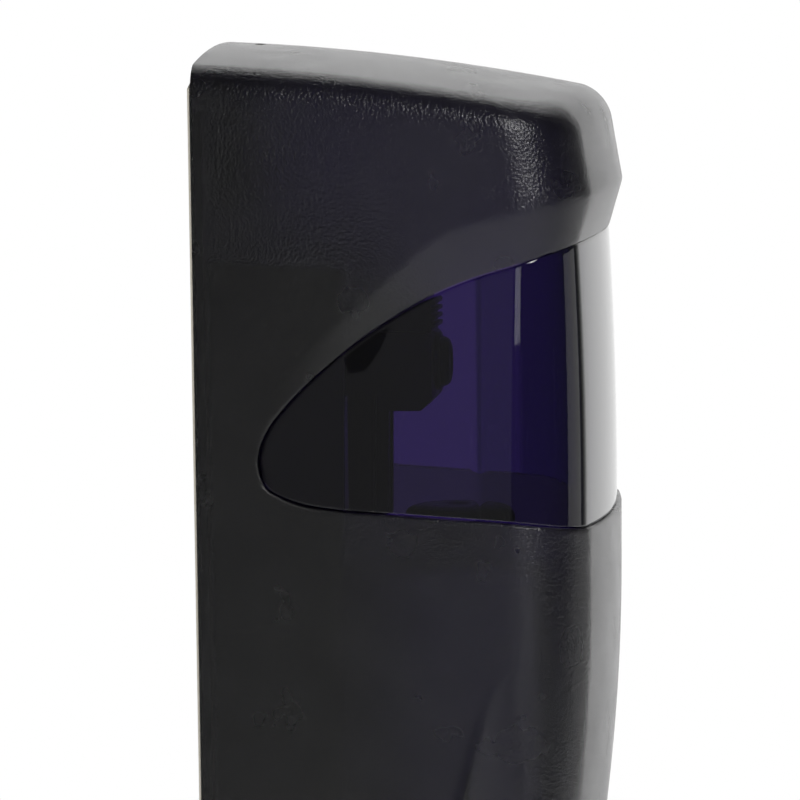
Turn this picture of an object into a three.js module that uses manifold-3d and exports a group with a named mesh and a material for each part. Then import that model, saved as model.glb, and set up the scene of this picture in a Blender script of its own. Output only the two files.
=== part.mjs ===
// Wall mounted soap dispenser: a tinted cover with a wrap-around sight window hides a refillable
// reservoir and a piston pump that a push bar at the bottom works.
// Millimetres. X is the width, the wall is the plane y = 0, the front faces -Y and +Z is up.
// The origin lies on the wall, half way up the dispenser.
import * as THREE from 'three';
import { mergeVertices } from 'three/addons/utils/BufferGeometryUtils.js';
import Module from 'manifold-3d';

const wasm = await Module();
wasm.setup();

// ---------------------------------------------------------------- driving dimensions
const height = 305;
const halfWidth = 64;
const wall = 2.4;
const gap = 0.3;
const gasketThickness = 0.8;
const coverRear = -(gasketThickness + gap);
const browDepth = 103.9;
const cornerRadius = 20;
const crownRadius = 365;
const roofEdgeRadius = 7;
const roofArchRadius = 420;
const roofTopDrop = 2.3;
const coverFrontDrop = 232;
const coverBottomDrop = 300;
const plateThickness = 3.2;
const hinge = { y: -9, drop: 293.5, pinRadius: 2 };
const pumpAxisY = -50;
const bar = { halfWidth: 59.2, topDrop: 234.6, bottomDrop: 293, wall: 2.2, pivotY: -82, pivotDrop: 241 };
const pinClearance = 0.15;

// Heights are given as drops below a datum that lies a little over the roof's highest point.
const atDrop = (drop) => height / 2 - drop;

// ---------------------------------------------------------------- solids and meshes
function solid(geometry) {
  const bare = geometry.clone();
  for (const name of Object.keys(bare.attributes)) {
    if (name !== 'position') bare.deleteAttribute(name);
  }
  const merged = mergeVertices(bare, 1e-4);
  const corners = merged.index.array;
  const kept = [];
  for (let i = 0; i < corners.length; i += 3) {
    const [a, b, c] = corners.slice(i, i + 3);
    if (a !== b && b !== c && c !== a) kept.push(a, b, c);
  }
  return new wasm.Manifold(new wasm.Mesh({
    numProp: 3,
    vertProperties: new Float32Array(merged.attributes.position.array),
    triVerts: new Uint32Array(kept),
  }));
}

// A solid whose faces may have been wound inward; turned the right way out.
function outward(make) {
  const body = make(false);
  return body.volume() > 0 ? body : make(true);
}

function geometryOf(body) {
  const mesh = body.getMesh();
  const geometry = new THREE.BufferGeometry();
  geometry.setAttribute('position', new THREE.BufferAttribute(mesh.vertProperties, 3));
  geometry.setIndex(new THREE.BufferAttribute(mesh.triVerts, 1));
  return geometry;
}

const union = (bodies) => bodies.reduce((whole, body) => whole.add(body));
const cut = (body, tools) => tools.reduce((rest, tool) => rest.subtract(tool), body);
const mirrored = (body) => body.mirror([1, 0, 0]);
const bothSides = (body) => [body, mirrored(body)];

function box([x0, x1], [y0, y1], [z0, z1]) {
  const geometry = new THREE.BoxGeometry(Math.abs(x1 - x0), Math.abs(y1 - y0), Math.abs(z1 - z0));
  geometry.translate((x0 + x1) / 2, (y0 + y1) / 2, (z0 + z1) / 2);
  return solid(geometry);
}

// A cylinder along an axis, from one coordinate on it to another.
function rod(axis, [a, b], radius, [p, q], sides = 14) {
  const geometry = new THREE.CylinderGeometry(radius, radius, Math.abs(b - a), sides);
  const middle = (a + b) / 2;
  if (axis === 'x') geometry.rotateZ(Math.PI / 2).translate(middle, p, q);
  if (axis === 'y') geometry.translate(p, middle, q);
  if (axis === 'z') geometry.rotateX(Math.PI / 2).translate(p, q, middle);
  return solid(geometry);
}

// A side view outline of [y, z] points, run across from x0 to x1.
function plateAcross(outline, [x0, x1]) {
  const shape = new THREE.Shape(outline.map(([y, z]) => new THREE.Vector2(y, z)));
  const geometry = new THREE.ExtrudeGeometry(shape, { depth: Math.abs(x1 - x0), bevelEnabled: false });
  const toAcross = new THREE.Matrix4().makeBasis(
    new THREE.Vector3(0, 1, 0), new THREE.Vector3(0, 0, 1), new THREE.Vector3(1, 0, 0));
  geometry.applyMatrix4(toAcross).translate(Math.min(x0, x1), 0, 0);
  return solid(geometry);
}

// A turned piece about a vertical axis. The profile's points are [radius, z]; one that doesn't start
// on the axis is a ring and closes on itself.
function turned(profile, [x, y], segments = 20) {
  const closed = profile[0][0] > 0 ? [...profile, profile[0]] : profile;
  return outward((flip) => {
    const points = closed.map(([r, z]) => new THREE.Vector2(r, z));
    if (flip) points.reverse();
    const geometry = new THREE.LatheGeometry(points, segments);
    return solid(geometry.rotateX(Math.PI / 2).translate(x, y, 0));
  });
}

// A closed skin over rings of points, all with the same count, in order from one end to the other.
function skin(rings) {
  const count = rings[0].length;
  const positions = [];
  for (const ring of rings) {
    for (const p of ring) positions.push(p.x, p.y, p.z);
  }
  const triangles = [];
  for (let k = 0; k + 1 < rings.length; k += 1) {
    for (let i = 0; i < count; i += 1) {
      const j = (i + 1) % count;
      const a = k * count + i;
      const b = k * count + j;
      triangles.push(a, b, b + count, a, b + count, a + count);
    }
  }
  for (const [k, flip] of [[0, true], [rings.length - 1, false]]) {
    const middle = new THREE.Vector3();
    for (const p of rings[k]) middle.addScaledVector(p, 1 / count);
    const centre = positions.length / 3;
    positions.push(middle.x, middle.y, middle.z);
    for (let i = 0; i < count; i += 1) {
      const a = k * count + i;
      const b = k * count + (i + 1) % count;
      triangles.push(...(flip ? [b, a, centre] : [a, b, centre]));
    }
  }
  const geometry = new THREE.BufferGeometry();
  geometry.setAttribute('position', new THREE.BufferAttribute(new Float32Array(positions), 3));
  return outward((flip) => {
    geometry.setIndex(flip ? triangles.toReversed() : triangles);
    return solid(geometry);
  });
}

// A round wire wound about a vertical axis, its ends left open like a cut spring.
function coil({ x, y, z0, z1, radius, wire, turns }) {
  class Helix extends THREE.Curve {
    getPoint(t, target = new THREE.Vector3()) {
      const angle = 2 * Math.PI * turns * t;
      const low = z0 + wire;
      const high = z1 - wire;
      return target.set(x + radius * Math.cos(angle), y + radius * Math.sin(angle), low + (high - low) * t);
    }
  }
  const section = new THREE.Shape();
  section.absarc(0, 0, wire, 0, 2 * Math.PI, false);
  const options = { steps: Math.round(turns * 9), curveSegments: 3, extrudePath: new Helix() };
  return solid(new THREE.ExtrudeGeometry(section, options));
}

// ---------------------------------------------------------------- outer form
const smooth = (a, b, v) => {
  const t = Math.min(1, Math.max(0, (v - a) / (b - a)));
  return t * t * (3 - 2 * t);
};
const lerp = (a, b, t) => a + (b - a) * t;

// A curve through [depth, drop] points; gives the drop at a depth.
function dropCurve(points) {
  return (depth) => {
    const last = points.length - 1;
    if (depth <= points[0][0]) return points[0][1];
    if (depth >= points[last][0]) return points[last][1];
    const k = points.findIndex((p, i) => i < last && depth <= points[i + 1][0]);
    const slope = (i) => {
      const a = points[Math.max(0, i - 1)];
      const b = points[Math.min(last, i + 1)];
      return (b[1] - a[1]) / (b[0] - a[0]);
    };
    const [x0, y0] = points[k];
    const [x1, y1] = points[k + 1];
    const t = (depth - x0) / (x1 - x0);
    const s = x1 - x0;
    return (2 * t ** 3 - 3 * t ** 2 + 1) * y0 + (t ** 3 - 2 * t ** 2 + t) * s * slope(k)
      + (3 * t ** 2 - 2 * t ** 3) * y1 + (t ** 3 - t ** 2) * s * slope(k + 1);
  };
}

// The window seen from the side: a fin that starts in a rounded tip and opens toward the front.
const tip = [16.4, 106.5];
const windowTop = dropCurve([
  tip, [17.4, 102], [20.5, 96.6], [30, 86.5], [46.9, 73.4], [68.6, 61.4], [98, 53], [108, 50.5],
]);
const windowBottom = dropCurve([
  tip, [17.4, 112], [21, 115.5], [30, 118.6], [52.6, 120.8], [80, 123], [98, 125.4], [108, 126.6],
]);
// The crease of the brow over the window, which fades out near the tip.
const brow = dropCurve([
  [0, 100], [22, 90], [39.3, 71.4], [58.6, 53.8], [65.7, 49.4], [79.4, 45.2], [104, 40],
]);
const browRecess = (depth) => 3.3 * smooth(24, 62, depth);

// Depth of the front at a height, at mid-width: a lean-back above the brow, a nearly straight
// stretch behind the window, and below it a long arc that ends in a straight taper.
const browDrop = 40;
const browLean = 0.165;
const sillDrop = 137;
const sillDepth = 102.6;
const lowerArcRadius = 520;
const lowerArcEnd = 204;
function frontDepth(drop) {
  if (drop < browDrop) return browDepth - (browDrop - drop) * browLean;
  if (drop < sillDrop) return lerp(browDepth, sillDepth, (drop - browDrop) / (sillDrop - browDrop));
  const along = Math.min(drop, lowerArcEnd) - sillDrop;
  const taper = Math.max(0, drop - lowerArcEnd) * (along / lowerArcRadius);
  return sillDepth - along ** 2 / (2 * lowerArcRadius) - taper;
}

// Drop of the roof at a place in plan: arched across, and falling toward the front.
function roofDrop(x, depth) {
  const fall = 0.05 * depth + 0.00085 * depth ** 2;
  return roofTopDrop + x ** 2 / (2 * roofArchRadius) + fall;
}

// Plan outline: straight sides, round corners and a crowned front. Each point has the way inward.
const sideStations = [0, 16, 19, 24, 34, 46, 58, 70];
function planOutline(depth, half) {
  const away = crownRadius - cornerRadius;
  const cornerX = half - cornerRadius;
  const centreY = -depth + crownRadius;
  const cornerY = centreY - Math.sqrt(away ** 2 - cornerX ** 2);
  const join = Math.asin(cornerX / away);
  const right = [];
  const sideLength = -cornerY + coverRear;
  for (const s of sideStations) {
    const y = coverRear - (s * sideLength) / 80;
    right.push({ x: half, y, nx: -1, ny: 0 });
  }
  for (let k = 0; k <= 5; k += 1) {
    const angle = ((Math.PI / 2 - join) * k) / 5;
    const nx = Math.cos(angle);
    const ny = -Math.sin(angle);
    right.push({ x: cornerX + cornerRadius * nx, y: cornerY + cornerRadius * ny, nx: -nx, ny: -ny });
  }
  for (let k = 1; k <= 2; k += 1) {
    const angle = join * (1 - k / 3);
    const nx = Math.sin(angle);
    const ny = -Math.cos(angle);
    right.push({ x: crownRadius * nx, y: centreY + crownRadius * ny, nx: -nx, ny: -ny });
  }
  const left = right.map((p) => ({ ...p, x: -p.x, nx: -p.nx })).reverse();
  const back = [-40, -20, 0, 20, 40].map((x) => ({ x, y: coverRear, nx: 0, ny: 1, isRear: true }));
  right[0].isRear = true;
  left[left.length - 1].isRear = true;
  return [...right, { x: 0, y: -depth, nx: 0, ny: 1 }, ...left, ...back];
}

// The body as a closed skin, set in by an inset. recess() gives what the surface is let in further
// at a place: the brow's slope on the cover, or the whole window surface on the lens.
function bodySkin({ inset, half = halfWidth, rear = 0, recess, setBack = 0 }) {
  const edge = roofEdgeRadius - Math.min(inset, roofEdgeRadius - 1.5);
  const nominal = planOutline(101.5, half);
  const ringAt = (dropOf, extra = 0, lift = () => 0) => nominal.map((guide, i) => {
    const drop = dropOf(guide);
    const p = planOutline(frontDepth(drop) - setBack, half)[i];
    const depthIn = inset + extra + recess(-guide.y, drop);
    const x = p.x + p.nx * depthIn;
    const y = guide.isRear ? coverRear + rear : p.y + p.ny * depthIn;
    return new THREE.Vector3(x, y, atDrop(drop) + lift(x, y));
  });
  const strips = [
    [() => height + 2, () => lowerArcEnd, 1],
    [() => lowerArcEnd, () => sillDrop, 3],
    [() => sillDrop, (g) => windowBottom(-g.y), 1],
    [(g) => windowBottom(-g.y), (g) => windowTop(-g.y), 2],
    [(g) => windowTop(-g.y), (g) => Math.min(brow(-g.y), windowTop(-g.y)), 1],
    [(g) => Math.min(brow(-g.y), windowTop(-g.y)), (g) => roofDrop(g.x, -g.y) + roofEdgeRadius + inset, 2],
  ];
  const rings = [];
  for (const [from, to, steps] of strips) {
    for (let k = 0; k < steps; k += 1) rings.push(ringAt((g) => lerp(from(g), to(g), k / steps)));
  }
  const rim = (g) => roofDrop(g.x, -g.y) + inset;
  for (let k = 0; k <= 3; k += 1) {
    const angle = (Math.PI / 2) * (k / 3);
    const down = edge * (1 - Math.sin(angle)) + (roofEdgeRadius - edge) * (1 - k / 3);
    rings.push(ringAt((g) => rim(g) + down, edge * (1 - Math.cos(angle))));
  }
  const last = rings[rings.length - 1];
  for (const scale of [0.65, 0.3]) {
    rings.push(last.map((p) => {
      const x = p.x * scale;
      const y = -52 + (p.y + 52) * scale;
      return new THREE.Vector3(x, y, atDrop(roofDrop(x, -y) + inset));
    }));
  }
  return skin(rings);
}

// ---------------------------------------------------------------- cover and window
// Side view of the window, grown outward by a margin.
function windowOutline(margin = 0) {
  const depths = [16.4, 16.9, 17.8, 19.5, 22, 26, 31, 38, 47, 57, 68, 80, 92, 106];
  const upper = depths.map((d) => [-(d + (d > tip[0] ? 0 : -margin)), atDrop(windowTop(d) - margin)]);
  const lower = depths.slice(1).map((d) => [-d, atDrop(windowBottom(d) + margin)]);
  upper[0][1] = atDrop(tip[1]);
  return [...upper, ...lower.reverse()];
}

// The scoop on each lower corner, between an edge on the side and an edge round the corner.
function cornerScoop(setIn) {
  const rings = [];
  for (const drop of [156, 160, 176, 193, 212, 236]) {
    const grow = drop - 160;
    const turn = Math.max(0, THREE.MathUtils.degToRad(0.6 * grow));
    const cornerY = -frontDepth(drop) + 22.8;
    const lift = drop < 160 ? 1 : 0;
    const side = [halfWidth + lift - setIn, -(77.6 - 0.273 * grow)];
    const cornerEdge = [
      halfWidth - cornerRadius + (cornerRadius + lift - setIn) * Math.cos(turn),
      cornerY - (cornerRadius + lift - setIn) * Math.sin(turn),
    ];
    const along = [cornerEdge[0] - side[0], cornerEdge[1] - side[1]];
    const reach = (p, k) => [p[0] + along[0] * k, p[1] + along[1] * k];
    const out = 12;
    const a = reach(side, -0.02);
    const b = reach(cornerEdge, 0.02);
    const section = [a, b, [b[0] + out, b[1]], [a[0] + out, a[1]]];
    rings.push(section.map(([x, y]) => new THREE.Vector3(x, y, atDrop(drop))));
  }
  return skin(rings);
}

const browOnly = (depth, drop) => {
  const top = windowTop(depth);
  const crease = Math.min(brow(depth), top);
  if (drop <= crease) return 0;
  if (drop >= windowBottom(depth) - 0.01) return 0;
  return browRecess(depth) * Math.min(1, (drop - crease) / Math.max(top - crease, 0.01));
};
const windowSurface = (depth, drop) => {
  const top = windowTop(depth);
  const bottom = windowBottom(depth);
  const share = Math.min(1, Math.max(0, (bottom - drop) / Math.max(bottom - top, 0.01)));
  return lerp(1.2, Math.max(1.2, browRecess(depth) + gap), share);
};

const hingeZ = atDrop(hinge.drop);
const pinBore = hinge.pinRadius + pinClearance;

function makeCover() {
  const outside = cut(bodySkin({ inset: 0, recess: browOnly }), bothSides(cornerScoop(0)));
  const hollow = cut(bodySkin({ inset: wall, recess: browOnly, rear: -wall }), bothSides(cornerScoop(wall)));
  const rearOpening = box([wall - halfWidth, halfWidth - wall], [-8, 5], [-height, atDrop(17)]);
  // Below the front edge only the side walls go on, back to the hinge.
  const frontEdgeDepth = 57.8;
  const below = plateAcross([
    [-130, atDrop(coverFrontDrop)],
    [-82, atDrop(coverFrontDrop)],
    [-frontEdgeDepth, atDrop(coverFrontDrop + 5)],
    [-42, atDrop(coverBottomDrop - 6)],
    [-37, atDrop(coverBottomDrop)],
    [10, atDrop(coverBottomDrop)],
    [10, -height],
    [-130, -height],
  ], [-90, 90]);
  const heelRadius = -hinge.y + coverRear - 0.2;
  const heel = box([-90, 90], [hinge.y, 5], [-height, hingeZ]).subtract(
    rod('x', [-91, 91], heelRadius, [hinge.y, hingeZ], 32));
  const window = plateAcross(windowOutline(), [-90, 90]);
  const keySlot = box([-4, 4], [-12, -9.4], [atDrop(9), atDrop(-5)]);
  const shell = cut(outside, [hollow, rearOpening, below, heel, window, keySlot]);
  const boss = rod('x', [halfWidth - wall - 2, halfWidth - 0.5], 5, [hinge.y, hingeZ]);
  // The keeper is a rib that hangs from the roof; the latch's nose stands in front of it.
  const keeper = box([-6, 6], [-7.8, -5.2], [atDrop(19.3), atDrop(4)]);
  const whole = union([shell, ...bothSides(boss), keeper]);
  return cut(whole, bothSides(rod('x', [50, 70], pinBore, [hinge.y, hingeZ])));
}

function makeWindow() {
  const outer = bodySkin({ inset: 0, recess: windowSurface });
  const inner = bodySkin({ inset: 2, recess: windowSurface, rear: -2 });
  return outer.subtract(inner).intersect(plateAcross(windowOutline(-gap), [-90, 90]));
}

// ---------------------------------------------------------------- back plate and gasket
const keyholes = [[-36, 38], [36, 38]];
const plainHoles = [[-36, 272], [36, 272]];
const latch = { half: 7, noseTop: 15, shoulder: 21.6, bottom: 34 };

function makeBackplate() {
  const full = box([-61, 61], [-plateThickness, 0], [atDrop(296), atDrop(18)]);
  const rebateDepth = gasketThickness + gap;
  const inside = box([-56, 56], [-rebateDepth, 1], [atDrop(290), atDrop(24)]);
  const rebate = box([-70, 70], [-rebateDepth, 1], [-height, height]).subtract(inside);
  const plate = full.subtract(rebate);
  const lug = box([51, 57.5], [hinge.y - 4.5, -1.5], [hingeZ - 4.5, hingeZ + 5]);
  const lugBore = rod('x', [50, 59], pinBore, [hinge.y, hingeZ]);
  // Two guides hold the sliding cover latch, and a shelf carries its spring.
  const guide = box([latch.half + gap, latch.half + 3], [-11.5, -2.5], [atDrop(46), atDrop(25)]);
  const springShelf = box([-latch.half - 3, latch.half + 3], [-11.5, -2.5], [atDrop(46), atDrop(43.5)]);
  const holes = [];
  for (const [x, drop] of keyholes) {
    holes.push(rod('y', [-10, 5], 4.5, [x, atDrop(drop)]));
    holes.push(rod('y', [-10, 5], 2.4, [x, atDrop(drop - 8)]));
    holes.push(box([x - 2.4, x + 2.4], [-10, 5], [atDrop(drop), atDrop(drop - 8)]));
  }
  for (const [x, drop] of plainHoles) holes.push(rod('y', [-10, 5], 2.4, [x, atDrop(drop)]));
  for (const [x, drop] of carrierScrews) holes.push(rod('y', [-10, 5], screw.bore, [x, atDrop(drop)]));
  const whole = union([plate, ...bothSides(lug), ...bothSides(guide), springShelf]);
  return cut(whole, [...bothSides(lugBore), ...holes]);
}

function makeGasket() {
  const outline = [[-63.6, 297], [63.6, 297]];
  for (let k = 0; k <= 6; k += 1) {
    const x = 63.6 - (127.2 * k) / 6;
    const corner = Math.abs(x) > 60 ? 5 : 2.2;
    outline.push([x, roofDrop(x, 0) + corner]);
  }
  const shape = new THREE.Shape(outline.map(([x, drop]) => new THREE.Vector2(x, atDrop(drop))));
  const sheet = new THREE.ExtrudeGeometry(shape, { depth: gasketThickness, bevelEnabled: false });
  const hole = box([-56.4, 56.4], [-5, 5], [atDrop(290.4), atDrop(23.6)]);
  return solid(sheet.rotateX(Math.PI / 2)).subtract(hole);
}

// ---------------------------------------------------------------- carrier
const carrier = { inner: 53.6, outer: 55.8, rear: -plateThickness - gap, panel: 3 };
const carrierFront = carrier.rear - carrier.panel;
const screw = { shank: 1.5, head: 3.4, headHeight: 2.2, bore: 1.7 };
const carrierScrews = [[-42, 72], [42, 72], [-42, 224], [42, 224]];
const pivotZ = atDrop(bar.pivotDrop);
const ear = { inner: 40, outer: 43, radius: 4.5 };

function makeCarrier() {
  const panel = box([-carrier.outer, carrier.outer], [carrierFront, carrier.rear], [atDrop(252), atDrop(56)]);
  const cheek = plateAcross([
    [carrier.rear, atDrop(56)],
    [-38.4, atDrop(58)],
    [-36.8, atDrop(150)],
    [-36, atDrop(212)],
    [-60, atDrop(244)],
    [-44, atDrop(252)],
    [carrier.rear, atDrop(252)],
  ], [carrier.inner, carrier.outer]);
  // Two stiffening flanges stand in from each cheek above the reservoir, the front one on its edge.
  const flange = (front, width) => plateAcross([
    [front - 1.6, atDrop(60)],
    [front, atDrop(131)],
    [front + width, atDrop(131)],
    [front + width - 1.6, atDrop(60)],
  ], [carrier.inner - 4.5, carrier.inner + 0.5]);
  const frontFlange = flange(-36.5, 1.8);
  const rearFlange = flange(-32.6, 4.2);
  const shelfEnd = carrier.outer - 0.5;
  const shelf = box([-shelfEnd, shelfEnd], [-72, carrier.rear - 0.5], [atDrop(244), atDrop(240.3)]);
  const spoutSlot = union([
    rod('z', [atDrop(250), atDrop(235)], 14, [0, pumpAxisY], 24),
    box([-14, 14], [-80, pumpAxisY], [atDrop(250), atDrop(235)]),
  ]);
  // Two ears reach forward under the reservoir and hold the push bar's pins.
  const arm = plateAcross([
    [-60, atDrop(243)],
    [-71, atDrop(240.3)],
    [bar.pivotY, pivotZ + ear.radius],
    [bar.pivotY, pivotZ - ear.radius],
    [-60, atDrop(249)],
  ], [ear.inner, ear.outer]);
  const eye = rod('x', [ear.inner, ear.outer], ear.radius, [bar.pivotY, pivotZ], 20);
  const whole = union([panel, shelf, ...[cheek, frontFlange, rearFlange, arm, eye].flatMap(bothSides)]);
  const holes = [...carrierScrews, ...latchScrews].map(
    ([x, drop]) => rod('y', [-12, 0], screw.bore, [x, atDrop(drop)]));
  return cut(whole, [spoutSlot, rod('x', [-60, 60], pinBore, [bar.pivotY, pivotZ]), ...holes]);
}

// A pan head screw; its seat is the face under the head and it runs from there along the way given.
function makeScrew([x, drop], seatY, length, way = 1) {
  const z = atDrop(drop);
  const ends = (a, b) => [seatY + a * way, seatY + b * way].sort((p, q) => p - q);
  const shank = rod('y', ends(-gap - 0.5, length), screw.shank, [x, z], 10);
  const head = rod('y', ends(-gap - screw.headHeight, -gap), screw.head, [x, z], 14);
  return shank.add(head);
}

// ---------------------------------------------------------------- cover latch
function makeCoverLatch() {
  const slider = box([-latch.half, latch.half], [-11, -3.6], [atDrop(latch.bottom), atDrop(latch.shoulder)]);
  const nose = plateAcross([
    [-11, atDrop(latch.shoulder + 0.5)],
    [-11, atDrop(latch.noseTop)],
    [-9.6, atDrop(latch.noseTop)],
    [-8.3, atDrop(latch.noseTop + 2)],
    [-8.3, atDrop(latch.shoulder + 0.5)],
  ], [-5.5, 5.5]);
  return union([slider, nose]);
}

// ---------------------------------------------------------------- reservoir and cap
const reservoir = { half: 53, rear: -12, front: -88, top: 134, bottom: 240, wall: 2, bevel: 5 };
const filler = { y: -61, neckRadius: 12, topDrop: 127.5 };
const spout = { radius: 9, wall: 1.8, bottomDrop: 249 };

function tankBody(inset) {
  const { half, rear, front, top, bottom, bevel } = reservoir;
  const b = Math.max(bevel - inset, 1.5);
  const y0 = rear - inset - b;
  const y1 = front + inset + b;
  const z0 = atDrop(bottom) + inset + b;
  const z1 = atDrop(top) - inset - b;
  const shape = new THREE.Shape([
    new THREE.Vector2(y0, z0 + 12),
    new THREE.Vector2(y0, z1),
    new THREE.Vector2(y1, z1),
    new THREE.Vector2(y1, z0 + 22),
    new THREE.Vector2(y1 + 19, z0),
    new THREE.Vector2(y0 - 16, z0),
  ]);
  const width = 2 * (half - inset - b);
  const options = { depth: width, bevelThickness: b, bevelSize: b, bevelSegments: 3 };
  const geometry = new THREE.ExtrudeGeometry(shape, options);
  const toAcross = new THREE.Matrix4().makeBasis(
    new THREE.Vector3(0, 1, 0), new THREE.Vector3(0, 0, 1), new THREE.Vector3(1, 0, 0));
  geometry.applyMatrix4(toAcross).translate(-width / 2, 0, 0);
  return solid(geometry);
}

function makeReservoir() {
  const topZ = atDrop(reservoir.top);
  const neck = rod('z', [topZ - 2, atDrop(filler.topDrop)], filler.neckRadius, [0, filler.y], 24);
  const spoutTube = rod('z', [atDrop(spout.bottomDrop), atDrop(238)], spout.radius, [0, pumpAxisY], 20);
  // The catch ledge that the latch hook's toe lies over.
  const ledge = box([-7, 7], [-43, -36], [topZ - 1, atDrop(130.6)]);
  const outside = union([tankBody(0), neck, spoutTube, ledge]);
  const fillerBore = rod('z', [atDrop(142), atDrop(120)], filler.neckRadius - 2, [0, filler.y], 24);
  const outlet = rod('z', [atDrop(255), atDrop(230)], spout.radius - spout.wall, [0, pumpAxisY], 20);
  return cut(outside, [tankBody(reservoir.wall), fillerBore, outlet]);
}

function makeFillerCap() {
  const topZ = atDrop(124);
  const skirtZ = atDrop(133.4);
  const outer = filler.neckRadius + 2.6;
  const inner = filler.neckRadius + gap;
  return turned([
    [0, topZ - 3.1],
    [inner, topZ - 3.1],
    [inner, skirtZ],
    [outer, skirtZ],
    [outer, topZ - 3],
    [outer - 0.9, topZ - 1.2],
    [outer - 3.2, topZ - 0.2],
    [0, topZ],
  ], [0, filler.y], 24);
}

// ---------------------------------------------------------------- reservoir latch
const latchScrews = [[-18, 84], [18, 84]];
const button = { z: atDrop(86.5), headRadius: 6.5, stemRadius: 3, frontY: -60 };
const housing = { half: 13, front: -55.6, blockRear: -41, top: 78, bottom: 98.5 };

const footFace = carrierFront - gap - 2.5;
function makeLatchHousing() {
  const { half, front, blockRear, top, bottom } = housing;
  const block = plateAcross([
    [blockRear, atDrop(bottom)],
    [blockRear, atDrop(top)],
    [front + 1.5, atDrop(top)],
    [front, atDrop(top + 1.5)],
    [front, atDrop(bottom - 3)],
    [front + 3, atDrop(bottom)],
  ], [-half, half]);
  const arm = box([half - 2.5, half], [blockRear - 1, carrierFront - gap], [atDrop(bottom - 4), atDrop(top)]);
  const roof = box([-half, half], [blockRear - 1, carrierFront - gap], [atDrop(top + 2.5), atDrop(top)]);
  const foot = box([half - 1, half + 10], [footFace, carrierFront - gap], [atDrop(92), atDrop(76)]);
  // The upright plate over the block has a ribbed edge.
  const plate = box([-9, 9], [-55.2, -41], [atDrop(78.5), atDrop(69.5)]);
  const teeth = [];
  for (let k = 0; k < 4; k += 1) {
    const z = atDrop(70.6 + 2 * k);
    teeth.push(box([-9, 9], [-56.4, -55], [z - 0.5, z + 0.5]));
  }
  const barrel = rod('y', [front - 1.4, front + 2], 7.6, [0, button.z], 20);
  const stemBore = rod('y', [-70, -30], button.stemRadius + pinClearance, [0, button.z]);
  const springBore = rod('y', [-70, -44.2], 5.4, [0, button.z]);
  const headBore = rod('y', [-70, front + 3.6], button.headRadius + 0.35, [0, button.z], 20);
  const footHoles = latchScrews.map(([x, drop]) => rod('y', [-20, 0], screw.bore, [x, atDrop(drop)]));
  const whole = union([block, ...bothSides(arm), roof, ...bothSides(foot), plate, ...teeth, barrel]);
  return cut(whole, [stemBore, springBore, headBore, ...footHoles]);
}

// The push button: a domed disc on a stem that runs back through the block.
function makeReleaseButton() {
  const { headRadius, stemRadius, frontY, z } = button;
  const profile = [
    [0, 26.4],
    [stemRadius - 0.6, 26.4],
    [stemRadius, 27],
    [stemRadius, 55.9],
    [headRadius, 55.9],
    [headRadius, -frontY - 2.2],
    [headRadius - 0.6, -frontY - 1],
    [headRadius - 2.4, -frontY - 0.3],
    [0, -frontY],
  ];
  return turned(profile, [0, 0]).rotate([90, 0, 0]).translate([0, 0, z]);
}

function makeLatchHook() {
  const plate = plateAcross([
    [-31, atDrop(81.5)],
    [-28.2, atDrop(81.5)],
    [-28.2, atDrop(130.2)],
    [-38.5, atDrop(130.2)],
    [-39.2, atDrop(129)],
    [-31, atDrop(126.6)],
  ], [-6.5, 6.5]);
  return plate.subtract(rod('y', [-40, -20], button.stemRadius + gap, [0, button.z]));
}

function makeButtonSpring() {
  const along = coil({ x: 0, y: 0, z0: 48.4, z1: 55.6, radius: 4.4, wire: 0.4, turns: 4 });
  return along.rotate([90, 0, 0]).translate([0, 0, button.z]);
}

// ---------------------------------------------------------------- pump
const pump = { boreRadius: 7, wall: 1.4, capThickness: 2.6, topDrop: 249.6, bottomDrop: 268 };

function makeRetainingNut() {
  const inner = spout.radius + gap;
  return turned([
    [inner, atDrop(252.8)],
    [8.8, atDrop(252.8)],
    [8.8, atDrop(254)],
    [12.6, atDrop(254)],
    [12.6, atDrop(245.2)],
    [inner, atDrop(245.2)],
  ], [0, pumpAxisY], 24);
}

function makePumpCylinder() {
  const { boreRadius, topDrop, bottomDrop } = pump;
  const collarRadius = 8.9;
  const inletRadius = 3.2;
  const outer = boreRadius + pump.wall;
  const capZ = atDrop(topDrop + pump.capThickness);
  return turned([
    [inletRadius, atDrop(topDrop)],
    [collarRadius, atDrop(topDrop)],
    [collarRadius, capZ],
    [outer, capZ],
    [outer, atDrop(bottomDrop)],
    [boreRadius, atDrop(bottomDrop)],
    [boreRadius, capZ],
    [inletRadius, capZ],
  ], [0, pumpAxisY]);
}

function makeInletValve() {
  return turned([
    [0, atDrop(253.6)],
    [5.4, atDrop(253.1)],
    [5.4, atDrop(252.6)],
    [1.2, atDrop(252.6)],
    [1.2, atDrop(248.6)],
    [0, atDrop(248.6)],
  ], [0, pumpAxisY], 16);
}

// The piston is a hollow stem with a flange near its lower end that the lifting fork pushes up.
const piston = { topDrop: 263.6, flangeDrop: 281, flangeThickness: 2.4, tipDrop: 291 };
function makePiston() {
  const topZ = atDrop(piston.topDrop);
  const flangeZ = atDrop(piston.flangeDrop);
  const tipZ = atDrop(piston.tipDrop);
  return turned([
    [2.4, topZ],
    [6.2, topZ],
    [6.2, topZ - 1.2],
    [5.2, topZ - 1.2],
    [5.2, topZ - 2.8],
    [6.2, topZ - 2.8],
    [6.2, topZ - 4],
    [4.4, topZ - 4],
    [4.4, flangeZ],
    [11, flangeZ],
    [11, flangeZ - piston.flangeThickness],
    [4.4, flangeZ - piston.flangeThickness],
    [4.4, tipZ],
    [2.4, tipZ],
  ], [0, pumpAxisY]);
}

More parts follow.
